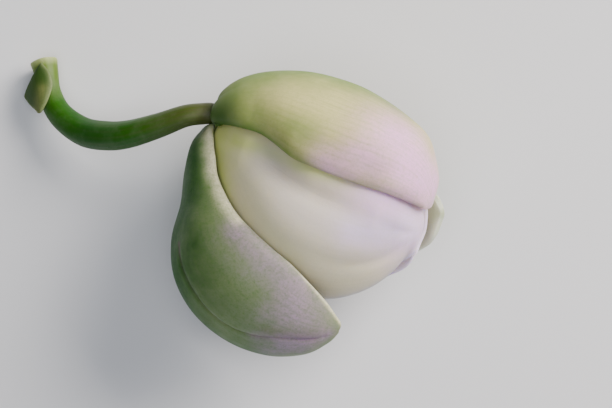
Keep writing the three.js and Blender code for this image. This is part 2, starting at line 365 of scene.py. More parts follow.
@dataclass(frozen=True)
class Tissue(Finish):
    """The finish of petals and sepals: soft living tissue, a waxy skin over cells with pigment in them.

    It scatters a little light inside, so lit rims glow and shaded limbs keep their green, and it is satin,
    never glossy. Veins run from base to tip, and the pigment lies in blotches a few millimetres across.
    """

    ground: str
    # Where a blade's washes put them, green and deep are at times painted shade, and pale a painted
    # highlight.
    green: str
    blush: str
    pale: str
    deep: str
    vein: str
    roughness: float = 0.5
    veins: float = 16.0
    vein_strength: float = 0.16
    mottle: float = 0.3
    glow: float = 0.5
    grain: float = 0.3
    fibre: float = 0.16

    def shader(self, add: Adder, place: Socket) -> Node:
        """Wires washes, cells, fibres and veins over the ground colour.

        Args:
            add: Adds a node to the material's tree.
            place: The object coordinates.

        Returns:
            The shader node.
        """
        zones = add("ShaderNodeAttribute", attribute_name=ZONES).outputs
        wash = add("ShaderNodeSeparateColor", (zones["Color"],)).outputs
        # Blotches of pigment lie 4 mm apart and clumps of cells 0.7 mm. Single cells are some 0.05 mm, too
        # fine to show, so their specks are drawn 0.3 mm apart.
        noise = {"Vector": place, "Roughness": 0.6}
        blotches, clumps, specks = (
            add("ShaderNodeTexNoise", {**noise, "Scale": per_mm / MM, "Detail": detail})
            for per_mm, detail in ((0.25, 3.0), (1.4, 3.0), (3.6, 2.0))
        )
        veins = self._vein_lines(add, place)
        shades = [
            (add("ShaderNodeMapRange", (pattern, low, high, 0.0, most)), self.vein)
            for pattern, low, high, most in (
                (clumps, 0.45, 0.75, 0.6 * self.mottle),
                (specks, 0.48, 0.75, 0.8 * self.mottle),
                (self._fibres(add), 0.46, 0.72, self.fibre),
            )
        ]
        coats = [
            (self._patchy(add, wash["Red"], blotches), self.green),
            (self._patchy(add, wash["Green"], blotches), self.blush),
            (self._patchy(add, wash["Blue"], blotches), self.pale),
            *shades,
            (add("ShaderNodeMath", (veins, self.vein_strength), operation="MULTIPLY"), self.vein),
            # The deep wash: real dark markings on the lip, elsewhere mostly painted shade in gaps, creases
            # and hollows.
            (zones["Alpha"], self.deep),
        ]
        sunken = add("ShaderNodeBump", {"Height": veins, "Strength": 0.1, "Distance": 0.03 * MM}, invert=True)
        grain = {"Height": specks, "Strength": self.grain, "Distance": 0.06 * MM, "Normal": sunken}
        gloss = (blotches, 0.3, 0.7, self.roughness - 0.06, self.roughness + 0.08)
        return add(
            "ShaderNodeBsdfPrincipled",
            {
                "Base Color": layered(add, srgb(self.ground), coats),
                "Roughness": add("ShaderNodeMapRange", gloss),
                "IOR": 1.4,
                "Subsurface Weight": self.glow,
                "Subsurface Radius": (1.0, 0.85, 0.5),
                "Subsurface Scale": 2.0 * MM,
                "Specular IOR Level": 0.3,
                "Normal": add("ShaderNodeBump", grain),
            },
        )

    @staticmethod
    def _fibres(add: Adder) -> Node:
        """Draws a noise out along the blade, into fibres about 0.4 mm wide.

        Args:
            add: Adds a node to the material's tree.

        Returns:
            The node that gives the fibres.
        """
        uv = add("ShaderNodeUVMap", uv_map=BLADE_UV)
        drawn = add("ShaderNodeVectorMath", (uv, (5.0, 70.0, 0.0)), operation="MULTIPLY")
        return add("ShaderNodeTexNoise", {"Vector": drawn, "Scale": 1.0, "Detail": 4.0, "Roughness": 0.65})

    def _patchy(self, add: Adder, wash: Socket, blotches: Node) -> Node:
        """Breaks a wash up where it is neither full nor absent.

        Args:
            add: Adds a node to the material's tree.
            wash: How strong the wash is, from 0 to 1.
            blotches: The noise that breaks it up.

        Returns:
            The node that gives the patchy wash.
        """
        centred = add("ShaderNodeMath", (blotches, 0.5), operation="SUBTRACT")
        rest = add("ShaderNodeMath", (1.0, wash), operation="SUBTRACT")
        room = add("ShaderNodeMath", (wash, rest), operation="MULTIPLY")
        push = add("ShaderNodeMath", (centred, room), operation="MULTIPLY")
        return add("ShaderNodeMath", (push, 10 * self.mottle, wash), operation="MULTIPLY_ADD", use_clamp=True)

    def _vein_lines(self, add: Adder, place: Socket) -> Node:
        """Draws thin veins from base to tip, which wander and sink under the skin every few millimetres.

        Args:
            add: Adds a node to the material's tree.
            place: The object coordinates.

        Returns:
            The node that gives 1 on a vein and 0 between them.
        """
        # They wander over about 11 mm, and sink and rise again over 6 mm.
        noise = {"Vector": place, "Detail": 2.0, "Roughness": 0.6}
        wander, sinking = (
            add("ShaderNodeTexNoise", {**noise, "Scale": per_mm / MM}) for per_mm in (0.09, 0.16)
        )
        across = add("ShaderNodeSeparateXYZ", (add("ShaderNodeUVMap", uv_map=BLADE_UV),)).outputs["Y"]
        bent = add("ShaderNodeMath", (wander, 0.12, across), operation="MULTIPLY_ADD")
        phase = add("ShaderNodeMath", (bent, math.pi * self.veins), operation="MULTIPLY")
        wave = add("ShaderNodeMath", (phase,), operation="SINE")
        size = add("ShaderNodeMath", (wave,), operation="ABSOLUTE")
        line = add("ShaderNodeMapRange", (size, 0.0, 0.8, 1.0, 0.0), interpolation_type="SMOOTHSTEP")
        shown = add("ShaderNodeMapRange", (sinking, 0.35, 0.65))
        return add("ShaderNodeMath", (line, shown), operation="MULTIPLY")


@dataclass(frozen=True)
class StalkSkin(Finish):
    """The finish of the stalk: a fleshy green stem, satin, with faint lengthwise lines and a thin waxy bloom.

    It is yellower where it was cut, full green in its bend and olive-brown under the flower, darker at the
    neck, partly as painted shade under the dorsal sepal. The cut end is paler, with a ring of darker vessels
    round its pith.
    """

    name: str = "stalk_skin"
    # The dark stops are partly the stem's own green and partly painted shade, most of all at the neck under
    # the dorsal sepal.
    colours: tuple[tuple[float, str], ...] = (
        (0.0, "b4c07e"),
        (0.03, "5f7a22"),
        (0.2, "265a02"),
        (0.42, "124c00"),
        (0.62, "225600"),
        (0.8, "3e5414"),
        (0.93, "484e24"),
        (1.0, "2c4a0c"),
    )
    bloom: str = "a8ad98"
    line: str = "4c4a2c"
    lines: float = 14.0
    cut_centre: Point = (-38.38, 18.58, -12.89)
    vessel: str = "5e7426"
    pith: str = "d2d8a8"

    def shader(self, add: Adder, place: Socket) -> Node:
        """Wires the colours along the stem, its lines and bloom, and the pith and vessels of the cut.

        Args:
            add: Adds a node to the material's tree.
            place: The object coordinates.

        Returns:
            The shader node.
        """
        along, around = (
            add("ShaderNodeAttribute", attribute_name=name).outputs["Fac"] for name in (ALONG, AROUND)
        )
        ramp = add("ShaderNodeValToRGB", (along,))
        stops = ramp.color_ramp.elements
        stops[0].color, stops[1].color = srgb(self.colours[0][1]), srgb(self.colours[-1][1])
        for position, code in self.colours[1:-1]:
            stops.new(position).color = srgb(code)
        # The bloom comes and goes over about 3 mm. The skin's cells are too fine to show, and are drawn as a
        # grain of 0.6 mm.
        patches, cells = (
            add(
                "ShaderNodeTexNoise",
                {"Vector": place, "Scale": per_mm / MM, "Detail": detail, "Roughness": roughness},
            )
            for per_mm, detail, roughness in ((0.33, 4.0, 0.65), (1.7, 3.0, 0.6))
        )
        phase = add("ShaderNodeMath", (around, 2 * math.pi * self.lines), operation="MULTIPLY")
        wave = add("ShaderNodeMath", (phase,), operation="SINE")
        line = add("ShaderNodeMapRange", (wave, 0.1, 1.0, 0.0, 0.3))
        late = add("ShaderNodeMapRange", (along, 0.4, 0.95, 0.25, 1.0))
        lined = add("ShaderNodeMath", (line, late), operation="MULTIPLY")
        # Pith and the two edges of the ring of vessels, by their distance from the cut's centre.
        centre = Vector(placed(np.array([self.cut_centre]))[0])
        away = add("ShaderNodeVectorMath", (place, centre), operation="DISTANCE").outputs["Value"]
        soft = {"interpolation_type": "SMOOTHSTEP"}
        pith, rising, falling = (
            add("ShaderNodeMapRange", (away, near * MM, far * MM, start, 1.0 - start), **soft)
            for near, far, start in ((0.45, 1.0, 1.0), (0.95, 1.15, 0.0), (1.3, 1.5, 1.0))
        )
        ring = add("ShaderNodeMath", (rising, falling), operation="MULTIPLY")
        strands = add("ShaderNodeMapRange", (cells, 0.44, 0.56))
        coats = (
            (lined, self.line),
            (add("ShaderNodeMapRange", (patches, 0.45, 0.75, 0.0, 0.1)), self.bloom),
            (pith, self.pith),
            (add("ShaderNodeMath", (ring, strands), operation="MULTIPLY"), self.vessel),
        )
        furrow = add("ShaderNodeBump", {"Height": lined, "Strength": 0.5, "Distance": 0.1 * MM}, invert=True)
        grain = {"Height": cells, "Strength": 0.35, "Distance": 0.08 * MM, "Normal": furrow}
        return add(
            "ShaderNodeBsdfPrincipled",
            {
                "Base Color": layered(add, ramp, coats),
                "Roughness": add("ShaderNodeMapRange", (patches, 0.3, 0.7, 0.38, 0.56)),
                "IOR": 1.42,
                "Specular IOR Level": 0.35,
                "Subsurface Weight": 0.12,
                "Subsurface Radius": (0.6, 1.0, 0.3),
                "Subsurface Scale": 1.0 * MM,
                "Normal": add("ShaderNodeBump", grain),
            },
        )


@dataclass(frozen=True)
class Waxy(Finish):
    """The finish of the column, the cap and the pollinia: smooth waxy tissue with a soft shine."""

    body: str
    tint: str
    roughness: float = 0.36
    patches: float = 0.38  # in a millimetre

    def shader(self, add: Adder, place: Socket) -> Node:
        """Wires the tint's patches over the body colour, and cells under the shine.

        Args:
            add: Adds a node to the material's tree.
            place: The object coordinates.

        Returns:
            The shader node.
        """
        patches = add("ShaderNodeTexNoise", {"Vector": place, "Scale": self.patches / MM, "Detail": 4.0})
        # The cells are too fine to show, so they are drawn 0.3 mm apart.
        cells = add("ShaderNodeTexVoronoi", {"Vector": place, "Scale": 3.2 / MM})
        share = add("ShaderNodeMapRange", (patches, 0.4, 0.68))
        gloss = (patches, 0.3, 0.7, self.roughness - 0.06, self.roughness + 0.1)
        return add(
            "ShaderNodeBsdfPrincipled",
            {
                "Base Color": layered(add, srgb(self.body), [(share, self.tint)]),
                "Roughness": add("ShaderNodeMapRange", gloss),
                "IOR": 1.44,
                "Subsurface Weight": 0.25,
                "Subsurface Radius": (1.0, 0.8, 0.5),
                "Subsurface Scale": 1.0 * MM,
                "Normal": add("ShaderNodeBump", {"Height": cells, "Strength": 0.25, "Distance": 0.04 * MM}),
            },
        )


@dataclass(frozen=True)
class EggshellPaint(Finish):
    """The finish of the table: pale matt paint with a fine tooth, about 1 mm across."""

    tint: str

    def shader(self, add: Adder, place: Socket) -> Node:
        """Wires the plain colour and the paint's tooth.

        Args:
            add: Adds a node to the material's tree.
            place: The object coordinates.

        Returns:
            The shader node.
        """
        tooth = add("ShaderNodeTexNoise", {"Vector": place, "Scale": 0.9 / MM, "Detail": 3.0})
        bump = add("ShaderNodeBump", {"Height": tooth, "Strength": 0.1, "Distance": 0.05 * MM})
        paint = {"Base Color": srgb(self.tint), "Roughness": 0.7, "Normal": bump}
        return add("ShaderNodeBsdfPrincipled", paint)


@dataclass(frozen=True)
class Blade:
    """A petal, sepal, bract or lobe: a thin curved slab on ribs, with rounded margins, folds and washes.

    On a blade, u runs from 0 at the base to 1 at the tip, and v from 1 at the near margin to -1 at the far.
    """

    name: str
    node: str
    slot: str
    ribs: tuple[Rib, ...]
    tissue: Tissue
    thickness: float
    edge: float
    floor: float = -math.inf
    rounding: float = 0.38
    tip: float = 0.05
    folds: tuple[Fold, ...] = ()
    washes: tuple[Wash, ...] = ()
    ripple: float = 0.05
    seed: int = 1
    rows: int = 150
    columns: int = 120

    def outward(self, u: np.ndarray) -> np.ndarray:
        """Finds the direction that the midrib faces at each u."""
        return unit(spline(unit(np.array([rib.out for rib in self.ribs])), u))

    def middle(self, u: np.ndarray, v: np.ndarray) -> np.ndarray:
        """Finds points of the blade's middle surface, on an arc from the midrib to each margin.

        Args:
            u: How far along the blade.
            v: How far across it.

        Returns:
            The points, about the heart.
        """
        near, mid, far = (
            spline(np.array([getattr(rib, key) for rib in self.ribs]), u) for key in ("near", "mid", "far")
        )
        out = self.outward(u)
        chord = np.where((v > 0)[..., None], near, far) - mid
        drop = -np.sum(chord * out, axis=-1)
        across = chord + out * drop[..., None]
        reach = np.linalg.norm(across, axis=-1)
        across = across / reach[..., None]
        # A flat stretch counts as bent by a hair, so that its radius isn't endless.
        bend = np.maximum(2 * np.arctan2(drop, reach), 1e-4)
        radius = np.hypot(drop, reach) / (2 * np.sin(bend / 2))
        angle = bend * np.abs(v)
        sideways, rise = radius * np.sin(angle), radius * (np.cos(angle) - 1)
        return mid + across * sideways[..., None] + out * rise[..., None]

    def grid(self) -> Grid:
        """Spreads u and v over the blade, closer near the margins, with the tip's corners rounded off.

        Returns:
            The grid's u and its v.
        """
        q = np.linspace(0, 1, self.rows + 1)
        w = np.linspace(1, -1, self.columns + 1)
        v = np.sin(np.pi * w / 2)
        s = 1 - (1 - q) ** ROW_CROWDING
        round_off = 1 - self.tip * np.outer(s**TIP_ONSET, np.abs(v) ** TIP_CORNER)
        return s[:, None] * round_off, np.broadcast_to(v, (len(s), len(v)))

    def traced(self, path: tuple[Spot, ...]) -> np.ndarray:
        """Follows a path given in u and v over the middle surface.

        Args:
            path: The path's corners.

        Returns:
            Points along it, about the heart.
        """
        line = spline(np.array(path, float), np.linspace(0, 1, 10 * (len(path) - 1) + 1))
        return self.middle(line[:, 0], line[:, 1])

    @staticmethod
    def facing(points: np.ndarray) -> np.ndarray:
        """Finds the direction that a grid of points faces at each of them."""
        return unit(np.cross(np.gradient(points, axis=0), np.gradient(points, axis=1)))

    @staticmethod
    def eased(points: np.ndarray, u: np.ndarray) -> np.ndarray:
        """Rounds off the corner that a rib's two arcs make at the midrib, more and more towards the tip.

        Args:
            points: The middle surface's grid.
            u: The grid's u.

        Returns:
            The grid with a smooth tip.
        """
        soft = points.copy()
        for _ in range(EASING_PASSES):
            soft[:, 1:-1] = 0.5 * soft[:, 1:-1] + 0.25 * (soft[:, :-2] + soft[:, 2:])
        near_tip = np.clip((u - EASED_FROM) / (1 - EASED_FROM), 0, 1)[..., None]
        return points + (soft - points) * near_tip**2 * (3 - 2 * near_tip)

    def shaped(self, u: np.ndarray, v: np.ndarray) -> Grid:
        """Lays the folds and the slight unevenness of grown tissue into the middle surface.

        Args:
            u: The grid's u.
            v: The grid's v.

        Returns:
            The middle points, and the direction that each faces.
        """
        points = self.eased(self.middle(u, v), u)
        normal = self.facing(points)
        outward = np.where(np.sum(normal * self.outward(u), axis=-1) < 0, -1, 1)
        lift = np.zeros(u.shape)
        for fold in self.folds:
            gap, along = distance_to_path(points, self.traced(fold.path))
            ends = np.clip(np.minimum(along, 1 - along) / fold.fade, 0, 1)
            lift -= fold.depth * np.exp(-((gap / fold.width) ** 2)) * ends**FOLD_FADING
        draw = np.random.default_rng(self.seed)
        calm = np.clip(np.minimum(u, CALM_BEYOND - u) / CALM_END, 0, 1)
        for _ in range(RIPPLES):
            wave = draw.normal(size=3) * RIPPLE_PITCH
            phase = draw.uniform(0, RIPPLE_PHASE)
            lift += self.ripple * RIPPLE_SHARE * calm * np.sin(points @ wave + phase)
        points = points + normal * (lift * outward)[..., None]
        return points, self.facing(points)

    def washed(self, points: np.ndarray) -> np.ndarray:
        """Works out how strong each zone's washes are.

        Args:
            points: The middle surface's grid.

        Returns:
            The four zones at each point, from 0 to 1.
        """
        clear = np.ones(points.shape[:-1] + (len(Zone),))
        for wash in self.washes:
            gap, _ = distance_to_path(points, self.traced(wash.path))
            clear[..., wash.zone.value] *= 1 - wash.strength * np.exp(-((gap / wash.radius) ** 2))
        return 1 - clear

    def margin(self, points: np.ndarray) -> np.ndarray:
        """Works out how the thickness falls to nothing, in a quarter round, at the blade's margins.

        Args:
            points: The middle surface's grid.

        Returns:
            The share of the full thickness at each point.
        """
        share = np.ones(points.shape[:-1])
        for axis in (0, 1):
            steps = np.linalg.norm(np.diff(points, axis=axis), axis=-1)
            zero = np.zeros_like(np.take(steps, [0], axis=axis))
            run = np.cumsum(np.concatenate([zero, steps], axis=axis), axis=axis)
            for reach in (run, np.take(run, [-1], axis=axis) - run):
                t = np.clip(reach / self.rounding, 0, 1)
                share *= np.sqrt(np.clip(1 - (1 - t) ** 2, 0, 1))
        return share

    def build(self) -> bpy.types.Object:
        """Builds the blade as a closed mesh with its UV map and washes, and dresses it.

        Returns:
            The finished piece.
        """
        u, v = self.grid()
        points, normal = self.shaped(u, v)
        half = (self.thickness - (self.thickness - self.edge) * v**THINNING) / 2
        points[..., 2] = np.maximum(points[..., 2], self.floor + half)
        offset = normal * (half * self.margin(points))[..., None]
        sheets = [points + offset, points - offset]
        for sheet in sheets:
            sheet[..., 2] = np.where(sheet[..., 2] < self.floor + FLAT_WITHIN, self.floor, sheet[..., 2])
        # The two sheets share the vertices of their margin.
        number = np.arange(u.size).reshape(u.shape)
        inner = np.zeros(u.shape, bool)
        inner[1:-1, 1:-1] = True
        below = number.copy()
        below[inner] = u.size + np.arange(inner.sum())
        vertices = np.vstack([sheets[0].reshape(-1, 3), sheets[1][inner]])
        top, bottom = (
            np.stack([n[:-1, :-1], n[1:, :-1], n[1:, 1:], n[:-1, 1:]], axis=-1).reshape(-1, 4)
            for n in (number, below)
        )
        faces = np.vstack([top, bottom[:, ::-1]]).tolist()
        piece = mesh_object(self.name, placed(vertices), faces, self.tissue.material())
        self._paint(piece, u, v, inner, self.washed(points))
        return kept(piece, self.node)

    @staticmethod
    def _paint(
        piece: bpy.types.Object, u: np.ndarray, v: np.ndarray, inner: np.ndarray, washes: np.ndarray
    ) -> None:
        """Stores the blade's u and v as its UV map, and its washes as a colour attribute.

        Args:
            piece: The blade's object.
            u: The grid's u.
            v: The grid's v.
            inner: Which points of the grid the second sheet has of its own.
            washes: The four washes on the grid.
        """
        mesh = piece.data
        flat_uv = np.stack([u, (v + 1) / 2], axis=-1)
        uv = np.vstack([flat_uv.reshape(-1, 2), flat_uv[inner]])
        corner = np.empty(len(mesh.loops), np.int32)
        mesh.loops.foreach_get("vertex_index", corner)
        mesh.uv_layers.new(name=BLADE_UV).data.foreach_set("uv", uv[corner].ravel())
        colours = np.vstack([washes.reshape(-1, 4), washes[inner]]).astype(np.float32)
        layer = mesh.attributes.new(ZONES, "FLOAT_COLOR", "POINT")
        layer.data.foreach_set("color", colours.ravel())


def stem_tree() -> bpy.types.NodeTree:
    """Builds the node tree that turns a curve with radii into a closed, faintly furrowed stem.

    Returns:
        The tree, with its profile's sides, furrows and their depth, and its material, as named inputs.
    """
    name = "stem_along_curve"
    found = bpy.data.node_groups.get(name)
    if found:
        return found
    tree = bpy.data.node_groups.new(name, "GeometryNodeTree")
    add = partial(add_node, tree)
    store = {"data_type": "FLOAT", "domain": "POINT"}
    for label, kind in (
        ("Curve", "Geometry"),
        ("Sides", "Int"),
        ("Furrows", "Int"),
        ("Furrow Depth", "Float"),
        ("Material", "Material"),
    ):
        tree.interface.new_socket(name=label, in_out="INPUT", socket_type=f"NodeSocket{kind}")
    tree.interface.new_socket(name="Stem", in_out="OUTPUT", socket_type="NodeSocketGeometry")
    given = add("NodeGroupInput").outputs
    factor = add("GeometryNodeSplineParameter").outputs["Factor"]
    along = {"Geometry": given["Curve"], "Name": ALONG, "Value": factor}
    path = add("GeometryNodeStoreNamedAttribute", along, **store)
    circle = add("GeometryNodeCurvePrimitiveCircle", {"Resolution": given["Sides"], "Radius": 1.0})
    around = {"Geometry": circle, "Name": AROUND, "Value": factor}
    ring = add("GeometryNodeStoreNamedAttribute", around, **store)
    turns = add("ShaderNodeMath", (factor, given["Furrows"]), operation="MULTIPLY")
    angle = add("ShaderNodeMath", (turns, 2 * math.pi), operation="MULTIPLY")
    wave = add("ShaderNodeMath", (angle,), operation="COSINE")
    depth = add("ShaderNodeMath", (wave, given["Furrow Depth"]), operation="MULTIPLY")
    size = add("ShaderNodeMath", (1.0, depth), operation="SUBTRACT")
    spot = add("GeometryNodeInputPosition")
    scaled = add("ShaderNodeVectorMath", {0: spot, "Scale": size}, operation="SCALE")
    profile = add("GeometryNodeSetPosition", {"Geometry": ring, "Position": scaled})
    swept = add("GeometryNodeCurveToMesh", {"Curve": path, "Profile Curve": profile, "Fill Caps": True})
    if "Scale" in swept.inputs:
        tree.links.new(add("GeometryNodeInputRadius").outputs["Radius"], swept.inputs["Scale"])
    smooth = add("GeometryNodeSetShadeSmooth", {"Geometry": swept, "Shade Smooth": True})
    whole = add("GeometryNodeRealizeInstances", {"Geometry": smooth})
    dressed = add("GeometryNodeSetMaterial", {"Geometry": whole, "Material": given["Material"]})
    add("NodeGroupOutput", {"Stem": dressed})
    return tree


@dataclass(frozen=True)
class Stem:
    """A stem that follows a path of points and radii: the stalk, the column, or a tendril of the lip."""

    name: str
    node: str
    slot: str
    path: tuple[Knot, ...]
    finish: Finish
    steps: int = 120
    sides: int = 40
    furrows: int = 6
    furrow_depth: float = 0.015
    # How both ends round off: how far in, in millimetres, and the share of the radius there.
    rounded: tuple[Pair, ...] = ((0.0, 0.03), (0.004, 0.35), (0.008, 0.7), (0.015, 0.9), (0.05, 0.97))

    def points(self) -> np.ndarray:
        """Samples the path closely, and rounds both ends over a short length.

        Returns:
            Rows of x, y, z and radius, about the heart.
        """
        line = spline(np.array(self.path, float), np.linspace(0, 1, self.steps + 1))
        first, last = line[0], line[-1]
        begin, end = unit(line[1, :3] - first[:3]), unit(last[:3] - line[-2, :3])
        head = [np.append(first[:3] + begin * s, first[3] * r) for s, r in self.rounded]
        tail = [np.append(last[:3] - end * s, last[3] * r) for s, r in reversed(self.rounded)]
        return np.vstack([head, line[1:-1], tail])

    def build(self) -> bpy.types.Object:
        """Sweeps the stem with Geometry Nodes, keeps the result as a plain mesh and dresses it.

        Returns:
            The finished piece.
        """
        rows = self.points()
        curve = bpy.data.curves.new(f"{self.name}_path", "CURVE")
        curve.dimensions = "3D"
        thread = curve.splines.new("POLY")
        thread.points.add(len(rows) - 1)
        where = placed(rows[:, :3])
        thread.points.foreach_set("co", np.hstack([where, np.ones((len(rows), 1))]).ravel())
        thread.points.foreach_set("radius", rows[:, 3] * MM)
        holder = bpy.data.objects.new(f"{self.name}_path", curve)
        bpy.context.scene.collection.objects.link(holder)
        sweep = holder.modifiers.new("sweep", "NODES")
        sweep.node_group = stem_tree()
        values = {
            "Sides": self.sides,
            "Furrows": self.furrows,
            "Furrow Depth": self.furrow_depth,
            "Material": self.finish.material(),
        }
        for item in sweep.node_group.interface.items_tree:
            if item.item_type == "SOCKET" and item.in_out == "INPUT" and item.name in values:
                sweep[item.identifier] = values[item.name]
        mesh = bpy.data.meshes.new_from_object(holder.evaluated_get(bpy.context.evaluated_depsgraph_get()))
        mesh.name = self.name
        holder.modifiers.remove(sweep)
        bpy.data.objects.remove(holder)
        piece = bpy.data.objects.new(self.name, mesh)
        bpy.context.scene.collection.objects.link(piece)
        return kept(piece, self.node)


# The open sepal's midrib groove, in u and v.
CREASE = ((0.44, -0.05), (0.54, -0.04), (0.64, -0.055), (0.71, 0.03), (0.77, 0.14), (0.86, 0.14), (0.9, 0.19))


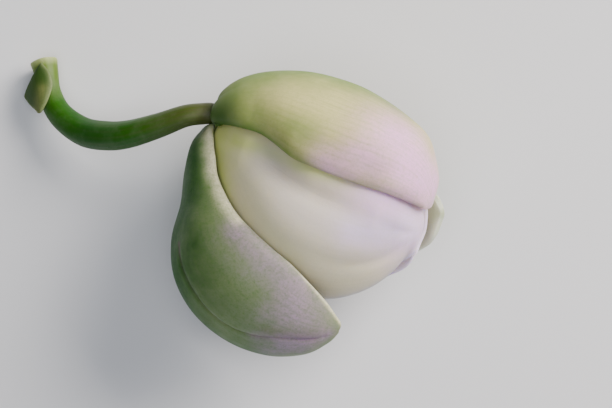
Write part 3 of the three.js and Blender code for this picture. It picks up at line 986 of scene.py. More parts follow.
@dataclass
class Sepals:
    """The three sepals outside the petals: one open, two that still hug the flower."""

    dorsal: Blade = Blade(
        name="dorsal_sepal_blade",
        node="dorsal_sepal",
        slot="dorsal_sepal",
        tissue=Tissue(
            name="sepal_tissue_cream_and_blush",
            ground="d3cb8c",
            green="66883a",
            blush="fbbcec",
            pale="f4eae0",
            deep="224c00",
            vein="8a9c48",
            veins=24.0,
            vein_strength=0.2,
            fibre=0.24,
        ),
        seed=3,
        tip=0.05,
        thickness=1.1,
        edge=0.5,
        ribs=(
            Rib((-14.05, 10.38, 1.4), (-12.93, 11.58, 0.73), (-13.0, 11.49, -0.89), (0.545, 0.673, 0.5)),
            Rib((-13.9, 9.5, 2.4), (-13.2, 12.6, 2.6), (-12.4, 12.2, -2.4), (-0.2, 0.8, 0.55)),
            Rib((-10.8, 8.9, 6.8), (-10.4, 14.2, 4.4), (-9.6, 13.2, -3.6), (-0.25, 0.8, 0.55)),
            Rib((-7.8, 7.9, 8.9), (-6.4, 14.8, 5.6), (-5.4, 13.8, -3.8), (-0.1, 0.8, 0.6)),
            Rib((-4.05, 5.1, 13.0), (-1.5, 14.3, 6.6), (-1.0, 13.6, -4.4), (0.0, 0.8, 0.6)),
            Rib((0.4, 3.2, 14.3), (3.6, 12.4, 7.6), (4.25, 12.95, -5.05), (0.2, 0.8, 0.6)),
            Rib((4.7, 1.45, 14.0), (8.0, 10.4, 8.2), (9.15, 10.6, -4.0), (0.5, 0.7, 0.5)),
            Rib((10.1, -0.4, 11.0), (13.0, 7.4, 6.4), (13.2, 6.8, -3.6), (0.75, 0.5, 0.4)),
            Rib((13.0, -1.6, 7.3), (15.0, 2.2, 4.2), (15.3, 2.8, -2.4), (0.9, 0.1, 0.3)),
            Rib((14.0, -2.1, 3.6), (14.45, -1.7, 2.6), (15.1, -0.6, 1.0), (0.9, -0.1, 0.2)),
        ),
        folds=(
            Fold(((0.30, 0.86), (0.40, 0.9), (0.444, 0.9), (0.483, 0.79), (0.53, 0.66)), 0.16, 1.1),
            Fold(((0.45, 1.0), (0.5, 0.9), (0.56, 0.8), (0.64, 0.7)), -0.16, 1.3),
            Fold(((0.3, 0.5), (0.45, 0.45), (0.6, 0.5), (0.75, 0.55)), -0.35, 3.0),
            Fold(((0.1, 1.0), (0.25, 1.0), (0.42, 1.0)), 0.3, 0.9),
            Fold(((0.36, 1.0), (0.6, 1.0), (0.9, 1.0)), 0.62, 1.1),
        ),
        washes=(
            Wash(GREEN, ((0.0, 0.3), (0.1, 0.3), (0.18, 0.4)), 4.4, 0.7),
            Wash(GREEN, ((0.1, -0.3), (0.3, -0.25)), 4.8, 0.55),
            Wash(GREEN, ((0.3, -0.4), (0.5, -0.42), (0.66, -0.5)), 4.8, 0.88),
            Wash(GREEN, ((0.24, 0.78), (0.36, 0.74), (0.48, 0.68)), 2.6, 0.5),
            # Partly the rim's own green and partly painted shade, where the near margin overhangs the front
            # petal.
            Wash(GREEN, ((0.02, 1.0), (0.2, 1.0), (0.43, 1.0)), 0.8, 0.95),
            Wash(GREEN, ((0.43, 1.0), (0.6, 1.0), (0.85, 1.0)), 0.8, 0.9),
            Wash(BLUSH, ((0.57, 0.92), (0.66, 0.75), (0.8, 0.6)), 2.8, 0.7),
            Wash(BLUSH, ((0.72, 0.3), (0.82, 0.5), (0.9, 0.3)), 5.0, 0.9),
            # Partly the base's own dark green and partly painted shade, where the base tucks over the stalk.
            Wash(DEEP, ((0.0, 0.4), (0.06, 0.5), (0.16, 0.75)), 2.8, 0.86),
            # Painted shade along the near margin, where it overhangs the front petal.
            Wash(DEEP, ((0.02, 1.0), (0.2, 1.0), (0.5, 1.0), (0.9, 1.0)), 0.55, 0.5),
            # Painted shade on the flap by the near margin, which is turned from the light.
            Wash(DEEP, ((0.42, 0.9), (0.54, 0.82), (0.68, 0.74)), 2.8, 0.34),
        ),
    )
    opened: Blade = Blade(
        name="open_sepal_blade",
        node="lateral_sepal_open",
        slot="open_sepal",
        tissue=Tissue(
            name="sepal_tissue_grey_green",
            ground="76865a",
            # This dark green is partly the sepal's own and partly painted shade on its far half, turned from
            # the light.
            green="0f4c00",
            blush="a68da4",
            pale="e2ddbc",
            deep="782a5c",
            vein="42701e",
            veins=22.0,
            vein_strength=0.16,
            mottle=0.45,
        ),
        seed=8,
        tip=0.0,
        thickness=1.1,
        edge=0.5,
        ribs=(
            Rib((-14.35, 9.75, 1.15), (-14.6, 9.3, 0.3), (-14.5, 9.6, -0.85), (-0.62, -0.765, 0.17)),
            Rib((-14.5, 8.1, 2.4), (-15.5, 8.25, 0.6), (-15.1, 8.4, -1.6), (-0.75, 0.3, 0.3)),
            Rib((-14.2, 5.6, 4.2), (-16.6, 6.4, 1.4), (-16.3, 6.6, -3.0), (-0.85, 0.25, 0.35)),
            Rib((-13.9, 3.2, 4.9), (-17.0, 3.0, 2.4), (-17.1, 2.8, -5.0), (-0.9, 0.0, 0.45)),
            Rib((-12.9, 0.8, 6.2), (-17.1, -0.9, 3.6), (-17.6, -1.6, -5.6), (-0.85, -0.1, 0.5)),
            Rib((-11.2, -2.1, 8.9), (-18.0, -5.2, 5.0), (-18.4, -6.0, -6.0), (-0.8, -0.2, 0.52)),
            Rib((-9.0, -4.5, 10.6), (-17.8, -9.4, 5.9), (-17.4, -11.0, -6.2), (-0.68, -0.4, 0.6)),
            Rib((-6.4, -6.9, 11.3), (-15.4, -13.7, 6.8), (-14.6, -14.8, -6.0), (-0.55, -0.55, 0.62)),
            Rib((-3.6, -9.3, 11.4), (-11.2, -17.4, 7.2), (-10.4, -17.6, -5.0), (-0.4, -0.68, 0.62)),
            Rib((-1.3, -11.8, 9.8), (-6.8, -19.3, 7.2), (-6.0, -18.9, -3.4), (-0.2, -0.75, 0.62)),
            Rib((0.8, -14.2, 8.2), (-2.4, -19.6, 6.8), (-1.8, -19.4, -0.6), (0.0, -0.75, 0.65)),
            Rib((2.2, -16.2, 6.6), (0.8, -18.6, 6.0), (0.7, -19.3, 2.6), (0.2, -0.7, 0.65)),
            Rib((2.8, -17.0, 5.8), (2.4, -17.6, 5.5), (2.1, -18.0, 4.9), (0.4, -0.6, 0.65)),
        ),
        folds=(
            Fold(CREASE, 0.42, 0.36, 0.2),
            Fold(((0.5, -0.11), (0.64, -0.13), (0.72, -0.02), (0.8, 0.07), (0.88, 0.08)), 0.25, 1.4, 0.25),
            Fold(((0.08, 0.75), (0.2, 0.7), (0.33, 0.75)), 0.2, 0.7),
            Fold(((0.06, 1.0), (0.3, 1.0), (0.5, 1.0), (0.75, 1.0)), 0.45, 0.9),
        ),
        washes=(
            # The dark green on the far half is partly the sepal's own green and partly painted shade on the
            # side turned from the light.
            Wash(GREEN, ((0.0, 0.2), (0.12, 0.0), (0.28, -0.2), (0.5, -0.36)), 5.8, 1.0),
            Wash(GREEN, ((0.35, 0.1), (0.45, 0.2), (0.55, 0.2)), 3.2, 0.42),
            Wash(GREEN, ((0.5, -0.4), (0.62, -0.5), (0.74, -0.5)), 3.6, 0.84),
            Wash(GREEN, ((0.2, -0.6), (0.4, -0.8), (0.58, -0.85), (0.72, -0.8)), 3.2, 0.7),
            # Partly the pale margin and partly a painted highlight, where the near margin catches the light.
            Wash(PALE, ((0.06, 0.85), (0.2, 0.93), (0.36, 0.95), (0.44, 1.0)), 1.1, 0.9),
            Wash(PALE, ((0.4, 1.0), (0.7, 1.0), (0.97, 0.9)), 0.3, 0.8),
            Wash(BLUSH, ((0.5, 0.9), (0.62, 0.85), (0.74, 0.8)), 3.0, 0.66),
            Wash(BLUSH, ((0.72, 0.45), (0.8, 0.5)), 3.0, 0.5),
            Wash(BLUSH, ((0.76, -0.1), (0.84, 0.0)), 2.2, 0.6),
            Wash(BLUSH, ((0.84, 0.5), (0.94, 0.5)), 2.2, 0.15),
            Wash(BLUSH, CREASE[3:], 1.0, 0.75),
            Wash(DEEP, ((0.72, 0.2), (0.8, 0.26), (0.88, 0.28)), 0.9, 0.14),
            # Partly the crease's own purple and partly painted shade in the midrib groove.
            Wash(DEEP, CREASE[:4], 0.3, 0.5),
            Wash(DEEP, CREASE[3:6], 0.42, 0.6),
        ),
    )
    closed: Blade = Blade(
        name="closed_sepal_blade",
        node="lateral_sepal_closed",
        slot="closed_sepal",
        tissue=Tissue(
            name="sepal_tissue_pale_green",
            ground="b4b8aa",
            green="86a452",
            blush="cbb8c2",
            pale="d2d8c8",
            deep="5c8428",
            vein="8aa35a",
            veins=22.0,
            vein_strength=0.12,
            mottle=0.16,
        ),
        floor=-HEART_HEIGHT,
        seed=5,
        tip=0.03,
        ripple=0.03,
        thickness=1.1,
        edge=0.5,
        ribs=(
            Rib((-13.29, 11.41, -1.14), (-13.89, 10.67, -1.45), (-14.41, 10.02, -1.14), (0.0, 0.0, -1.0)),
            Rib((-11.4, 11.2, -5.2), (-12.8, 10.0, -5.4), (-14.4, 7.7, -3.8), (-0.35, 0.35, -0.87)),
            Rib((-6.6, 13.4, -6.2), (-9.4, 8.2, -10.0), (-13.4, 2.3, -7.5), (-0.5, 0.45, -0.74)),
            Rib((-1.6, 13.4, -6.8), (-4.0, 6.0, -13.8), (-9.6, -4.4, -10.9), (-0.2, 0.3, -0.93)),
            Rib((4.2, 12.0, -7.2), (1.6, 3.0, -14.6), (-2.6, -8.15, -12.5), (0.05, 0.18, -0.98)),
            Rib((9.8, 9.2, -6.6), (7.2, 0.8, -13.3), (4.7, -9.8, -10.85), (0.48, 0.1, -0.87)),
            Rib((13.8, 5.0, -5.6), (12.4, -1.0, -8.8), (10.2, -9.0, -7.4), (0.8, 0.0, -0.6)),
            Rib((15.2, 1.2, -4.6), (15.1, -2.3, -4.6), (14.8, -6.8, -4.2), (0.8, -0.1, -0.55)),
            Rib((16.2, -0.7, -3.4), (16.95, -2.5, -3.2), (16.2, -4.7, -3.4), (0.7, -0.1, -0.7)),
        ),
        washes=(
            Wash(GREEN, ((0.0, 0.0), (0.2, 0.0), (0.4, 0.0)), 6.0, 0.9),
            Wash(GREEN, ((0.4, 0.0), (0.6, 0.0), (0.85, 0.0)), 4.6, 0.4),
            Wash(BLUSH, ((0.5, 0.7), (0.7, 0.6)), 3.0, 0.4),
            Wash(BLUSH, ((0.5, -0.7), (0.7, -0.7)), 3.0, 0.4),
            Wash(PALE, ((0.7, -1.0), (0.9, -1.0), (1.0, -0.5)), 0.5, 0.7),
            Wash(PALE, ((0.7, 1.0), (0.9, 1.0), (1.0, 0.5)), 0.5, 0.7),
        ),
    )

    def build(self) -> list[bpy.types.Object]:
        """Builds and dresses the three sepals.

        Returns:
            The finished pieces.
        """
        return [blade.build() for blade in (self.dorsal, self.opened, self.closed)]


# Painted shade, tinted green, on the front petal where the dorsal sepal's margin overhangs it, in u and v.
STREAK = ((0.25, 0.13), (0.32, 0.15), (0.44, 0.18), (0.53, 0.24), (0.62, 0.26), (0.76, 0.29), (0.86, 0.31))
PETAL_TISSUE = Tissue(
    name="petal_tissue_white_and_blush",
    ground="eee0bc",
    green="c4d070",
    blush="e8b8ee",
    pale="fbdfff",
    # Deep is a cool lilac grey, used on the front petal as painted shade.
    deep="9c9eba",
    vein="cdc596",
    vein_strength=0.09,
    veins=26.0,
    mottle=0.18,
    glow=0.6,
)


@dataclass
class Petals:
    """The two broad petals, cupped round the heart, one before the other."""

    front: Blade = Blade(
        name="front_petal_blade",
        node="petal_front",
        seed=11,
        tip=0.04,
        ripple=0.06,
        slot="petal",
        tissue=PETAL_TISSUE,
        thickness=0.8,
        edge=0.4,
        ribs=(
            Rib((-12.54, 10.66, 0.55), (-12.91, 10.21, 0.93), (-13.33, 9.69, 0.82), (0.13, 0.16, 0.98)),
            Rib((-11.6, 10.4, 2.2), (-12.7, 8.8, 2.4), (-13.9, 7.4, 0.8), (-0.4, -0.1, 0.9)),
            Rib((-9.0, 10.4, 4.8), (-11.3, 6.6, 5.4), (-13.0, 3.6, -1.6), (-0.6, 0.1, 0.8)),
            Rib((-4.5, 10.6, 5.9), (-7.4, 4.6, 9.7), (-12.35, -3.1, -2.95), (-7.6, 5.1, 9.7)),
            Rib((0.5, 11.2, 6.5), (-2.0, 0.6, 13.2), (-8.35, -8.75, -5.6), (-2.2, 1.1, 13.2)),
            Rib((5.6, 9.4, 7.2), (4.4, -2.2, 12.6), (-1.4, -11.8, -6.5), (4.2, -1.7, 12.6)),
            Rib((10.0, 6.0, 6.4), (9.3, -3.8, 9.3), (6.1, -10.7, -5.9), (9.1, -3.3, 9.3)),
            Rib((12.7, 1.8, 4.5), (12.4, -4.6, 4.9), (11.7, -8.6, 0.3), (11.8, -4.0, 4.9)),
            Rib((13.4, -2.4, 1.6), (13.55, -4.6, 1.2), (13.05, -6.6, 1.1), (12.7, -3.9, 1.2)),
        ),
        folds=(
            Fold(((0.3, 0.02), (0.42, -0.01), (0.54, 0.0), (0.68, -0.02)), 1.45, 2.2, 0.35),
            Fold(((0.45, -0.22), (0.58, -0.2), (0.72, -0.16)), -0.2, 1.6, 0.35),
            Fold(((0.58, -0.3), (0.68, -0.28), (0.8, -0.24)), 0.22, 0.9, 0.35),
            Fold(((0.66, 0.1), (0.76, 0.08), (0.86, 0.04)), -0.14, 0.8, 0.35),
            Fold(((0.68, -0.06), (0.78, -0.06), (0.88, -0.06)), 0.14, 0.6, 0.35),
            Fold(((0.06, -0.6), (0.2, -0.6), (0.35, -0.5), (0.52, -0.5)), -0.3, 1.6),
        ),
        washes=(
            Wash(GREEN, ((0.0, 0.0), (0.1, 0.0), (0.22, 0.02)), 3.8, 0.66),
            Wash(GREEN, ((0.12, -0.3), (0.28, -0.45), (0.46, -0.52)), 2.0, 0.85),
            Wash(GREEN, ((0.25, 0.5), (0.42, 0.36), (0.6, 0.5)), 1.6, 0.35),
            Wash(BLUSH, ((0.68, 0.3), (0.8, 0.1), (0.9, 0.0)), 5.0, 0.85),
            Wash(PALE, ((0.62, -0.1), (0.74, -0.08), (0.85, -0.1)), 2.0, 0.75),
            Wash(PALE, ((0.88, 0.9), (1.0, 0.0), (0.88, -0.9), (0.75, -1.0)), 0.7, 0.8),
            # Painted shade along the valley fold.
            Wash(DEEP, ((0.38, -0.02), (0.5, -0.08), (0.64, -0.1), (0.72, -0.1)), 3.4, 0.44),
            # Painted shade, bluish grey, where the lower rim curves away from the light.
            Wash(DEEP, ((0.56, -0.8), (0.66, -0.72), (0.76, -0.7)), 3.8, 0.85),
            Wash(GREEN, ((0.22, -0.1), (0.4, -0.26), (0.54, -0.34)), 3.6, 0.26),
            Wash(PALE, ((0.8, 0.02), (0.88, 0.0)), 2.4, 0.4),
            # Painted shade under the dorsal sepal's margin.
            Wash(GREEN, STREAK, 1.0, 0.9),
        ),
    )
    back: Blade = Blade(
        name="back_petal_blade",
        node="petal_back",
        seed=17,
        tip=0.04,
        ripple=0.05,
        slot="petal",
        tissue=PETAL_TISSUE,
        thickness=0.8,
        edge=0.4,
        ribs=(
            Rib((-13.01, 10.09, -0.95), (-12.6, 10.59, -0.66), (-12.43, 10.8, 0.0), (0.45, 0.56, -0.7)),
            Rib((-13.6, 7.2, -1.8), (-11.8, 9.4, -3.2), (-10.9, 11.6, 0.2), (-0.3, 0.2, -0.95)),
            Rib((-14.7, 3.1, -0.4), (-10.2, 6.8, -6.6), (-7.6, 12.4, 1.2), (-0.6, 0.1, -0.8)),
            Rib((-14.0, -3.3, -1.0), (-6.6, 4.6, -10.2), (-3.0, 13.3, 2.0), (-6.8, 5.1, -10.2)),
            Rib((-10.4, -9.8, -3.5), (-1.5, 0.8, -12.8), (2.0, 13.3, 3.0), (-1.7, 1.3, -13.2)),
            Rib((-2.9, -13.2, -6.2), (4.2, -1.8, -12.4), (6.4, 11.6, 4.0), (4.0, -1.3, -12.7)),
            Rib((5.7, -12.4, -6.2), (9.2, -3.6, -9.6), (10.6, 8.2, 4.2), (9.0, -3.1, -9.6)),
            Rib((11.7, -9.0, -0.5), (12.4, -4.6, -5.0), (13.4, 3.4, 3.6), (12.2, -4.1, -5.0)),
            Rib((13.7, -6.9, 0.2), (14.1, -4.8, -0.4), (14.1, -2.0, 0.8), (13.75, -4.3, -0.3)),
        ),
        folds=(Fold(((0.8, 1.0), (0.85, 1.0), (0.9, 0.95)), -0.6, 1.0, 0.4),),
        washes=(
            Wash(GREEN, ((0.0, 0.0), (0.15, 0.0), (0.3, 0.0)), 4.0, 0.85),
            Wash(BLUSH, ((0.6, 0.0), (0.8, 0.0), (0.9, 0.0)), 6.0, 0.8),
            Wash(PALE, ((0.6, 1.0), (0.8, 1.0), (1.0, 0.6), (1.0, -0.6), (0.8, -1.0)), 0.8, 0.85),
            # Painted light: lightens the tip of the margin, which lies in shade.
            Wash(PALE, ((0.78, 0.97), (0.86, 0.94), (0.93, 0.8)), 1.6, 1.0),
        ),
    )

    def build(self) -> list[bpy.types.Object]:
        """Builds and dresses the two petals.

        Returns:
            The finished pieces.
        """
        return [blade.build() for blade in (self.front, self.back)]


@dataclass
class Lip:
    """The lip: a claw and mid lobe, two side lobes by the column, a callus, and two tendrils at the tip."""

    plane: float = -0.6  # of the mirror between its two sides
    thickness: float = 0.8
    edge: float = 0.6
    callus_centre: Spot = (-10.4, 2.7)
    callus_reach: Point = (1.0, 0.8, 0.7)
    callus_humps: float = 0.12  # how far the humps swell, as a share of its size
    callus_waist: Pair = (0.1, 0.25)  # its depth and its breadth, as shares of its size
    tissue: Tissue = Tissue(
        name="lip_tissue_cream_and_yellow",
        ground="efe6d2",
        green="e0b93e",
        blush="dfa9bd",
        pale="f6f0e8",
        deep="7d2740",
        vein="c98a90",
        veins=9.0,
        vein_strength=0.25,
        roughness=0.42,
    )
    tendril_tissue: Waxy = Waxy(name="tendril_tissue_cream", body="efe6d2", tint="dcb4bf")
    callus_tissue: Waxy = Waxy(name="callus_tissue_yellow", body="e3bd48", tint="b8703a", patches=0.9)

    def lobe(self, **shape: Any) -> Blade:
        """Lays out a lobe of the lip's tissue.

        Args:
            **shape: The lobe's own fields.

        Returns:
            The lobe, still to be built.
        """
        same = {"node": "labellum", "slot": "lip", "tissue": self.tissue}
        return Blade(thickness=self.thickness, edge=self.edge, rounding=0.35, ripple=0.02, **same, **shape)

    def mid_lobe(self) -> Blade:
        """Lays out the claw and the broad mid lobe.

        Returns:
            The lobe, still to be built.
        """
        # Along the lobe: where its middle lies, how wide it is and how far its margins cup.
        spread = (
            ((-13.5, 9.0), 0.35, 0.05),
            ((-12.8, 7.3), 0.5, 0.1),
            ((-12.0, 4.8), 1.0, 0.3),
            ((-10.8, 1.9), 1.8, 0.7),
            ((-8.6, -1.3), 3.3, 1.2),
            ((-5.6, -4.1), 3.9, 1.4),
            ((-2.6, -5.9), 2.6, 0.8),
            ((-0.6, -6.5), 0.7, 0.1),
        )
        ribs = []
        for (x, y), width, cup in spread:
            near, far = ((x + 0.7 * cup, y + 0.7 * cup, self.plane + reach) for reach in (width, -width))
            ribs.append(Rib(near, (x, y, self.plane), far, (-0.75, -0.65, 0.0)))
        return self.lobe(
            name="lip_mid_lobe",
            ribs=tuple(ribs),
            rows=80,
            columns=48,
            folds=(Fold(((0.35, 0.0), (0.6, 0.0), (0.95, 0.0)), 0.2, 0.5),),
            washes=(
                Wash(GREEN, ((0.15, 0.0), (0.35, 0.0), (0.5, 0.0)), 1.6, 0.9),
                Wash(BLUSH, ((0.6, 0.8), (0.8, 0.8)), 1.6, 0.6),
                Wash(BLUSH, ((0.6, -0.8), (0.8, -0.8)), 1.6, 0.6),
                Wash(DEEP, ((0.42, 0.5), (0.5, 0.3)), 0.35, 0.8),
                Wash(DEEP, ((0.42, -0.5), (0.5, -0.3)), 0.35, 0.8),
                Wash(DEEP, ((0.55, 0.0), (0.7, 0.0)), 0.25, 0.7),
            ),
        )

    def side_lobe(self, side: Side) -> Blade:
        """Lays out the side lobe on one side of the column.

        Args:
            side: Which of the two.

        Returns:
            The lobe, still to be built.
        """
        rows = (
            ((-12.1, 5.0, 0.5), (-11.5, 3.4, 0.8), (-10.8, 1.8, 0.6)),
            ((-10.9, 6.0, 2.8), (-10.1, 3.9, 3.2), (-9.6, 1.5, 2.8)),
            ((-9.0, 6.6, 4.4), (-8.4, 4.0, 5.2), (-8.0, 1.4, 4.5)),
            ((-7.0, 5.2, 5.2), (-6.8, 4.0, 6.0), (-6.7, 2.8, 5.6)),
        )
        out = (-0.6, -0.2, side.value * 0.75)
        return self.lobe(
            name=f"lip_side_lobe_{side.name.lower()}",
            ribs=tuple(Rib(*((x, y, self.plane + side.value * z) for x, y, z in row), out) for row in rows),
            rows=48,
            columns=40,
            washes=(
                Wash(GREEN, ((0.0, 0.0), (0.25, 0.0)), 1.4, 0.8),
                Wash(BLUSH, ((0.7, 0.0), (0.9, 0.0)), 1.6, 0.5),
                Wash(DEEP, ((0.1, 0.5), (0.4, 0.6)), 0.25, 0.8),
                Wash(DEEP, ((0.1, 0.0), (0.45, 0.0)), 0.25, 0.8),
                Wash(DEEP, ((0.1, -0.5), (0.4, -0.6)), 0.25, 0.8),
            ),
        )

    def tendril(self, side: Side) -> Stem:
        """Lays out one of the two tendrils at the lip's tip.

        Args:
            side: Which of the two.

        Returns:
            The tendril, still to be built.
        """
        rows = ((-1.4, -6.3, 0.1, 0.4), (0.2, -6.7, 0.7, 0.36), (1.5, -6.1, 1.6, 0.33), (1.9, -4.9, 2.3, 0.3))
        return Stem(
            name=f"lip_tendril_{side.name.lower()}",
            node="labellum",
            slot="lip",
            path=tuple((x, y, self.plane + side.value * z, r) for x, y, z, r in rows),
            finish=self.tendril_tissue,
            steps=40,
            sides=20,
            furrows=2,
        )

    def callus(self) -> bpy.types.Object:
        """Builds the callus, a low two-humped cushion between the side lobes.

        Returns:
            The finished piece.
        """
        rings, sides = 24, 40
        centre = np.array([*self.callus_centre, self.plane])
        depth, breadth = self.callus_waist
        points = []
        for i in range(rings + 1):
            lean = math.pi * i / rings
            for j in range(sides):
                turn = 2 * math.pi * j / sides
                x, y, z = math.sin(lean) * math.cos(turn), math.cos(lean), math.sin(lean) * math.sin(turn)
                waist = depth * math.exp(-((z / breadth) ** 2)) * abs(x)
                swell = 1 + self.callus_humps * math.cos(2 * turn) * math.sin(lean) - waist
                points.append(centre + np.array([x, y, z]) * swell * self.callus_reach)
        material = self.callus_tissue.material()
        piece = mesh_object("lip_callus", placed(np.array(points)), ring_faces(rings, sides), material)
        return kept(closed_up(piece), "labellum")

    def build(self) -> list[bpy.types.Object]:
        """Builds and dresses every part of the lip.

        Returns:
            The finished pieces.
        """
        lobes = [self.mid_lobe(), *(self.side_lobe(side) for side in Side)]
        return [part.build() for part in (*lobes, *(self.tendril(side) for side in Side))] + [self.callus()]


@dataclass
class Column:
    """The column, the hollow cap over its end, and the pair of pollinia that the cap covers."""

    path: tuple[Knot, ...] = (
        (-12.95, 9.95, 0.0, 0.42),
        (-12.2, 9.3, -0.1, 0.6),
        (-10.8, 8.0, -0.3, 1.1),
        (-9.2, 6.5, -0.45, 1.55),
        (-7.6, 5.1, -0.6, 1.85),
        (-6.4, 4.0, -0.7, 1.7),
    )
    end: Point = (-6.4, 4.0, -0.7)
    axis: Point = (0.735, -0.675, -0.06)
    cap_radius: float = 1.8
    cap_crown: float = 1.85
    hollow_radius: float = 1.25
    hollow_crown: float = 1.3
    foot: float = 0.1  # from which height both domes of the cap rise
    mouth: float = 0.32  # how far the cap's mouth lies beyond the column's end
    rim: tuple[Pair, ...] = ((0.05, 0.05), (0.15, 0.07))  # how its mouth rounds: in from a wall, and down
    furrow: Pair = (0.06, 0.45)  # the depth and breadth of the furrow over its crown
    furrowed_from: float = 0.6  # the height at which the furrow begins
    masses: Point = (0.36, 0.3, 0.36)  # half the width, depth and length of each of the pollinia
    strap: Point = (0.1, 0.08, 0.5)  # the same for the strap that joins them
    apart: float = 0.42  # from the strap's middle to that of each of the pollinia
    perch: float = 0.6  # how far the pollinia lie beyond the column's end
    skin: Waxy = Waxy(name="column_tissue_white", body="ece6d8", tint="dfc6cf")
    shell: Waxy = Waxy(name="anther_cap_tissue_white", body="f3efe2", tint="e9d9dc", roughness=0.3)
    pollen: Waxy = Waxy(name="pollinia_wax_yellow", body="e0ac28", tint="c98a1c", roughness=0.24, patches=1.5)

    def turned(self, points: Sequence[Point]) -> np.ndarray:
        """Turns points drawn round +Y to lie on the column's end.

        Args:
            points: Millimetres, with +Y along the column.

        Returns:
            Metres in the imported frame.
        """
        turn = Vector((0, 1, 0)).rotation_difference(Vector(self.axis).normalized()).to_matrix()
        return placed(np.array(points) @ np.array(turn).T + np.array(self.end))

    def cap_profile(self, rings: int) -> list[Spot]:
        """Draws half the cap's section, from its crown over the rounded mouth to the top of its hollow.

        Args:
            rings: How many steps each dome has.

        Returns:
            Pairs of a radius and a height.
        """
        # Both domes stop a hair short of the pole, which a vertex of its own closes.
        quarter, hair = math.pi / 2 * 0.995, 0.005
        leans = [quarter * k / rings for k in range(rings + 1)]
        dome = [self.on_dome(self.cap_radius, self.cap_crown, lean + hair) for lean in reversed(leans)]
        hollow = [self.on_dome(self.hollow_radius, self.hollow_crown, lean) for lean in leans]
        down = [(self.cap_radius - inward, self.mouth - drop) for inward, drop in self.rim]
        up = [(self.hollow_radius + inward, self.mouth - drop) for inward, drop in reversed(self.rim)]
        return [*dome, *down, *up, *hollow]

    def on_dome(self, radius: float, crown: float, lean: float) -> Spot:
        """Finds a dome's radius and height at an angle above its foot, no lower than the mouth."""
        height = self.foot + (crown - self.foot) * math.sin(lean)
        return radius * math.cos(lean), max(height, self.mouth)

    def cap(self) -> bpy.types.Object:
        """Builds the cap: a hollow dome with a rounded mouth and a shallow furrow over its crown.

        Returns:
            The finished piece.
        """
        sides = 56
        profile = self.cap_profile(rings=22)
        depth, breadth = self.furrow
        points = []
        for r, y in profile:
            deepest = depth if y > self.furrowed_from and r < self.cap_radius else 0.0
            for j in range(sides):
                turn = 2 * math.pi * j / sides
                sunk = deepest * math.exp(-((math.sin(turn) * r / breadth) ** 2))
                points.append((r * math.cos(turn), y - sunk, r * math.sin(turn)))
        faces = ring_faces(len(profile) - 1, sides)
        top, last = len(points), (len(profile) - 1) * sides
        points += [(0.0, self.cap_crown, 0.0), (0.0, self.hollow_crown, 0.0)]
        for j in range(sides):
            n = (j + 1) % sides
            faces += [(top, n, j), (top + 1, last + j, last + n)]
        piece = mesh_object("anther_cap_shell", self.turned(points), faces, self.shell.material())
        return kept(closed_up(piece), "anther_cap")

    def pollinia(self) -> bpy.types.Object:
        """Builds the pair of pollinia with the strap that joins them, as one closed body.

        Returns:
            The finished piece.
        """
        rings, sides, thinnest = 48, 36, 0.002
        reach = self.apart + self.masses[2]
        points = []
        for i in range(rings + 1):
            z = -reach + 2 * reach * i / rings
            mass = max(1 - ((abs(z) - self.apart) / self.masses[2]) ** 2, 0.0) ** 0.5
            strap = max(1 - (z / self.strap[2]) ** 2, 0.0) ** 0.5
            wide, deep = (max(self.masses[k] * mass, self.strap[k] * strap, thinnest) for k in (0, 1))
            for j in range(sides):
                turn = 2 * math.pi * j / sides
                points.append((wide * math.cos(turn), self.perch + deep * math.sin(turn), z))
        ends = [tuple(ring * sides + j for j in range(sides)) for ring in (0, rings)]
        faces = ring_faces(rings, sides) + ends
        piece = mesh_object("pollinia_pair", self.turned(points), faces, self.pollen.material())
        return kept(closed_up(piece), "pollinia")

    def build(self) -> list[bpy.types.Object]:
        """Builds and dresses the column, its cap and the pollinia.

        Returns:
            The finished pieces.
        """
        shape = {"path": self.path, "steps": 60, "sides": 44, "furrows": 2, "furrow_depth": 0.03}
        body = Stem(name="column_body", node="column", slot="column", finish=self.skin, **shape)
        return [body.build(), self.cap(), self.pollinia()]


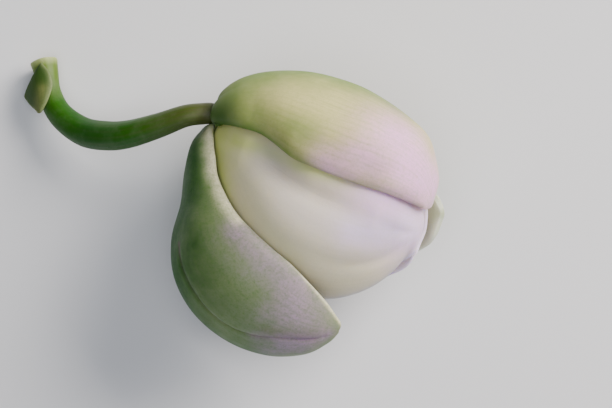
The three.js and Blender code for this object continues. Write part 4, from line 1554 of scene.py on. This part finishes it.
@dataclass
class Stalk:
    """The flower's stalk, a little swollen where it becomes the ovary, and the small bract at its cut end."""

    receptacle: Point = (-14.2, 11.0, 0.0)
    axis: Point = (0.777, -0.629, 0.0)
    path: tuple[Knot, ...] = (
        (-38.38, 18.58, -12.89, 1.95),
        (-38.06, 17.24, -12.5, 1.75),
        (-37.5, 14.23, -11.9, 1.65),
        (-35.85, 11.11, -10.6, 1.8),
        (-32.63, 8.8, -8.6, 1.98),
        (-29.31, 8.14, -6.2, 2.0),
        (-26.13, 8.29, -3.9, 1.9),
        (-22.0, 9.38, -1.6, 1.7),
        (-18.2, 10.66, 0.1, 1.5),
        (-15.7, 10.98, 0.0, 1.46),
        (-14.7, 11.04, 0.0, 1.42),
        (-14.3, 11.02, 0.0, 1.3),
    )
    # The neck under the flower: how far beyond the receptacle, and the radius there.
    neck: tuple[Pair, ...] = ((0.1, 1.2), (0.9, 1.05), (1.2, 0.7))
    skin: StalkSkin = StalkSkin()
    bract: Blade = Blade(
        name="bract_scale",
        node="floral_bract",
        slot="bract",
        tissue=Tissue(
            name="bract_tissue_dry_olive",
            # The dark ground is partly the bract's own olive green and partly painted shade.
            ground="2e4a16",
            green="2a4c0c",
            blush="747a44",
            pale="939f6c",
            deep="4c4a2e",
            vein="3c5620",
            roughness=0.58,
            veins=9.0,
            vein_strength=0.25,
            mottle=0.4,
            glow=0.08,
        ),
        thickness=0.5,
        edge=0.3,
        rounding=0.25,
        seed=21,
        rows=70,
        columns=56,
        ripple=0.05,
        ribs=(
            Rib((-38.4, 18.3, -11.1), (-39.1, 16.5, -11.5), (-38.75, 14.7, -12.3), (-0.7, 0.3, 0.64)),
            Rib((-38.45, 18.3, -10.42), (-39.75, 16.15, -11.2), (-40.85, 13.8, -12.55), (-0.73, 0.03, 0.68)),
            Rib((-37.4, 17.0, -10.05), (-39.6, 15.0, -10.65), (-40.5, 13.0, -12.1), (-0.73, 0.03, 0.68)),
            Rib((-36.95, 15.2, -9.8), (-39.05, 13.6, -10.0), (-39.85, 12.3, -11.3), (-0.73, 0.03, 0.68)),
            Rib((-37.45, 13.2, -9.25), (-38.75, 12.3, -9.65), (-39.25, 11.8, -10.4), (-0.73, 0.03, 0.68)),
            Rib((-38.3, 11.5, -9.25), (-38.55, 11.3, -9.4), (-38.7, 11.2, -9.7), (-0.73, 0.03, 0.68)),
        ),
        washes=(
            Wash(PALE, ((0.0, 1.0), (0.5, 1.0), (0.95, 0.9)), 0.45, 0.6),
            Wash(PALE, ((1.0, 0.9), (1.0, -0.9)), 0.3, 0.6),
            Wash(PALE, ((0.0, -1.0), (0.6, -1.0), (0.95, -0.9)), 0.3, 0.5),
            Wash(GREEN, ((0.0, 0.0), (0.4, 0.0)), 1.6, 0.8),
            Wash(BLUSH, ((0.6, 0.4), (0.9, 0.0)), 1.0, 0.7),
            Wash(DEEP, ((0.97, 0.0), (1.0, 0.0)), 0.35, 0.5),
        ),
    )

    def build(self) -> list[bpy.types.Object]:
        """Builds and dresses the stalk and its bract.

        Returns:
            The finished pieces.
        """
        start, along = np.array(self.receptacle), np.array(self.axis)
        neck = tuple((*(start + along * distance), radius) for distance, radius in self.neck)
        shape = {"path": self.path + neck, "steps": 260, "sides": 60}
        stem = Stem(name="stalk_and_ovary", node="pedicel_and_ovary", slot="stalk", finish=self.skin, **shape)
        return [stem.build(), self.bract.build()]


@dataclass(frozen=True)
class Lamp:
    """A square soft light: where it hangs from the flower, its distance and side in metres, and its watts."""

    name: str
    direction: Point
    distance: float
    size: float
    power: float
    tint: str

    def hang(self, aim: Vector) -> None:
        """Hangs the light and turns it to face a point.

        Args:
            aim: The point, in metres.
        """
        light = bpy.data.lights.new(self.name, "AREA")
        light.shape = "SQUARE"
        light.size = self.size
        light.energy = self.power
        light.color = srgb(self.tint)[:3]
        lamp = bpy.data.objects.new(self.name, light)
        lamp.location = aim + Vector(self.direction).normalized() * self.distance
        lamp.rotation_euler = (aim - lamp.location).to_track_quat("-Z", "Y").to_euler()
        bpy.context.scene.collection.objects.link(lamp)


@dataclass
class Studio:
    """The pale table, the soft lights and the camera that looks straight down."""

    lens: float = 180.0
    sensor: float = 36.0
    camera: Point = (-1.89, -1.215, 413.1)
    aim: Point = (-1.0, 0.0, 0.0)
    clip: Pair = (0.02, 20.0)  # the nearest and farthest that the camera sees, in metres
    reach: float = 3.0  # from the table's middle to its edges, in metres
    sky: str = "f2f0ea"
    sky_strength: float = 0.1
    paint: EggshellPaint = EggshellPaint(name="table_eggshell_paint", tint="dfe2e2")
    lamps: tuple[Lamp, ...] = (
        Lamp("key_light", (0.67, 0.47, 0.57), 0.5, 0.32, 5.3, "fff6f2"),
        Lamp("top_light", (-0.05, -0.1, 1.0), 0.6, 0.4, 1.95, "f6f5ff"),
        Lamp("cool_fill", (-0.3, -0.9, 0.35), 0.5, 0.4, 0.45, "b8d0ff"),
    )

    def floor(self) -> None:
        """Lays the table: a plain pale board."""
        square = np.array([(-1, -1, 0), (1, -1, 0), (1, 1, 0), (-1, 1, 0)]) * self.reach
        table = mesh_object("table", square, [(0, 1, 2, 3)], self.paint.material())

    def build(self) -> None:
        """Lays the table, hangs the lights and sets the camera."""
        self.floor()
        aim, place = (Vector(placed(np.array([spot]))[0]) for spot in (self.aim, self.camera))
        for lamp in self.lamps:
            lamp.hang(aim)
        world = bpy.data.worlds.new("soft_studio")
        world.use_nodes = True
        background = world.node_tree.nodes["Background"]
        background.inputs["Color"].default_value = srgb(self.sky)
        background.inputs["Strength"].default_value = self.sky_strength
        bpy.context.scene.world = world
        lens = bpy.data.cameras.new("camera")
        lens.lens = self.lens
        lens.sensor_width = self.sensor
        lens.clip_start, lens.clip_end = self.clip
        camera = bpy.data.objects.new("camera", lens)
        camera.location = place
        bpy.context.scene.collection.objects.link(camera)
        bpy.context.scene.camera = camera


def main() -> None:
    """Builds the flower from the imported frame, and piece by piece."""
    logging.basicConfig(level=logging.INFO, format="%(name)s: %(message)s")
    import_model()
    Studio().build()
    for part in (Stalk(), Sepals(), Petals(), Lip(), Column()):
        pieces = part.build()
        LOG.info("%s: %d pieces", type(part).__name__, len(pieces))


if __name__ == "__main__":
    main()
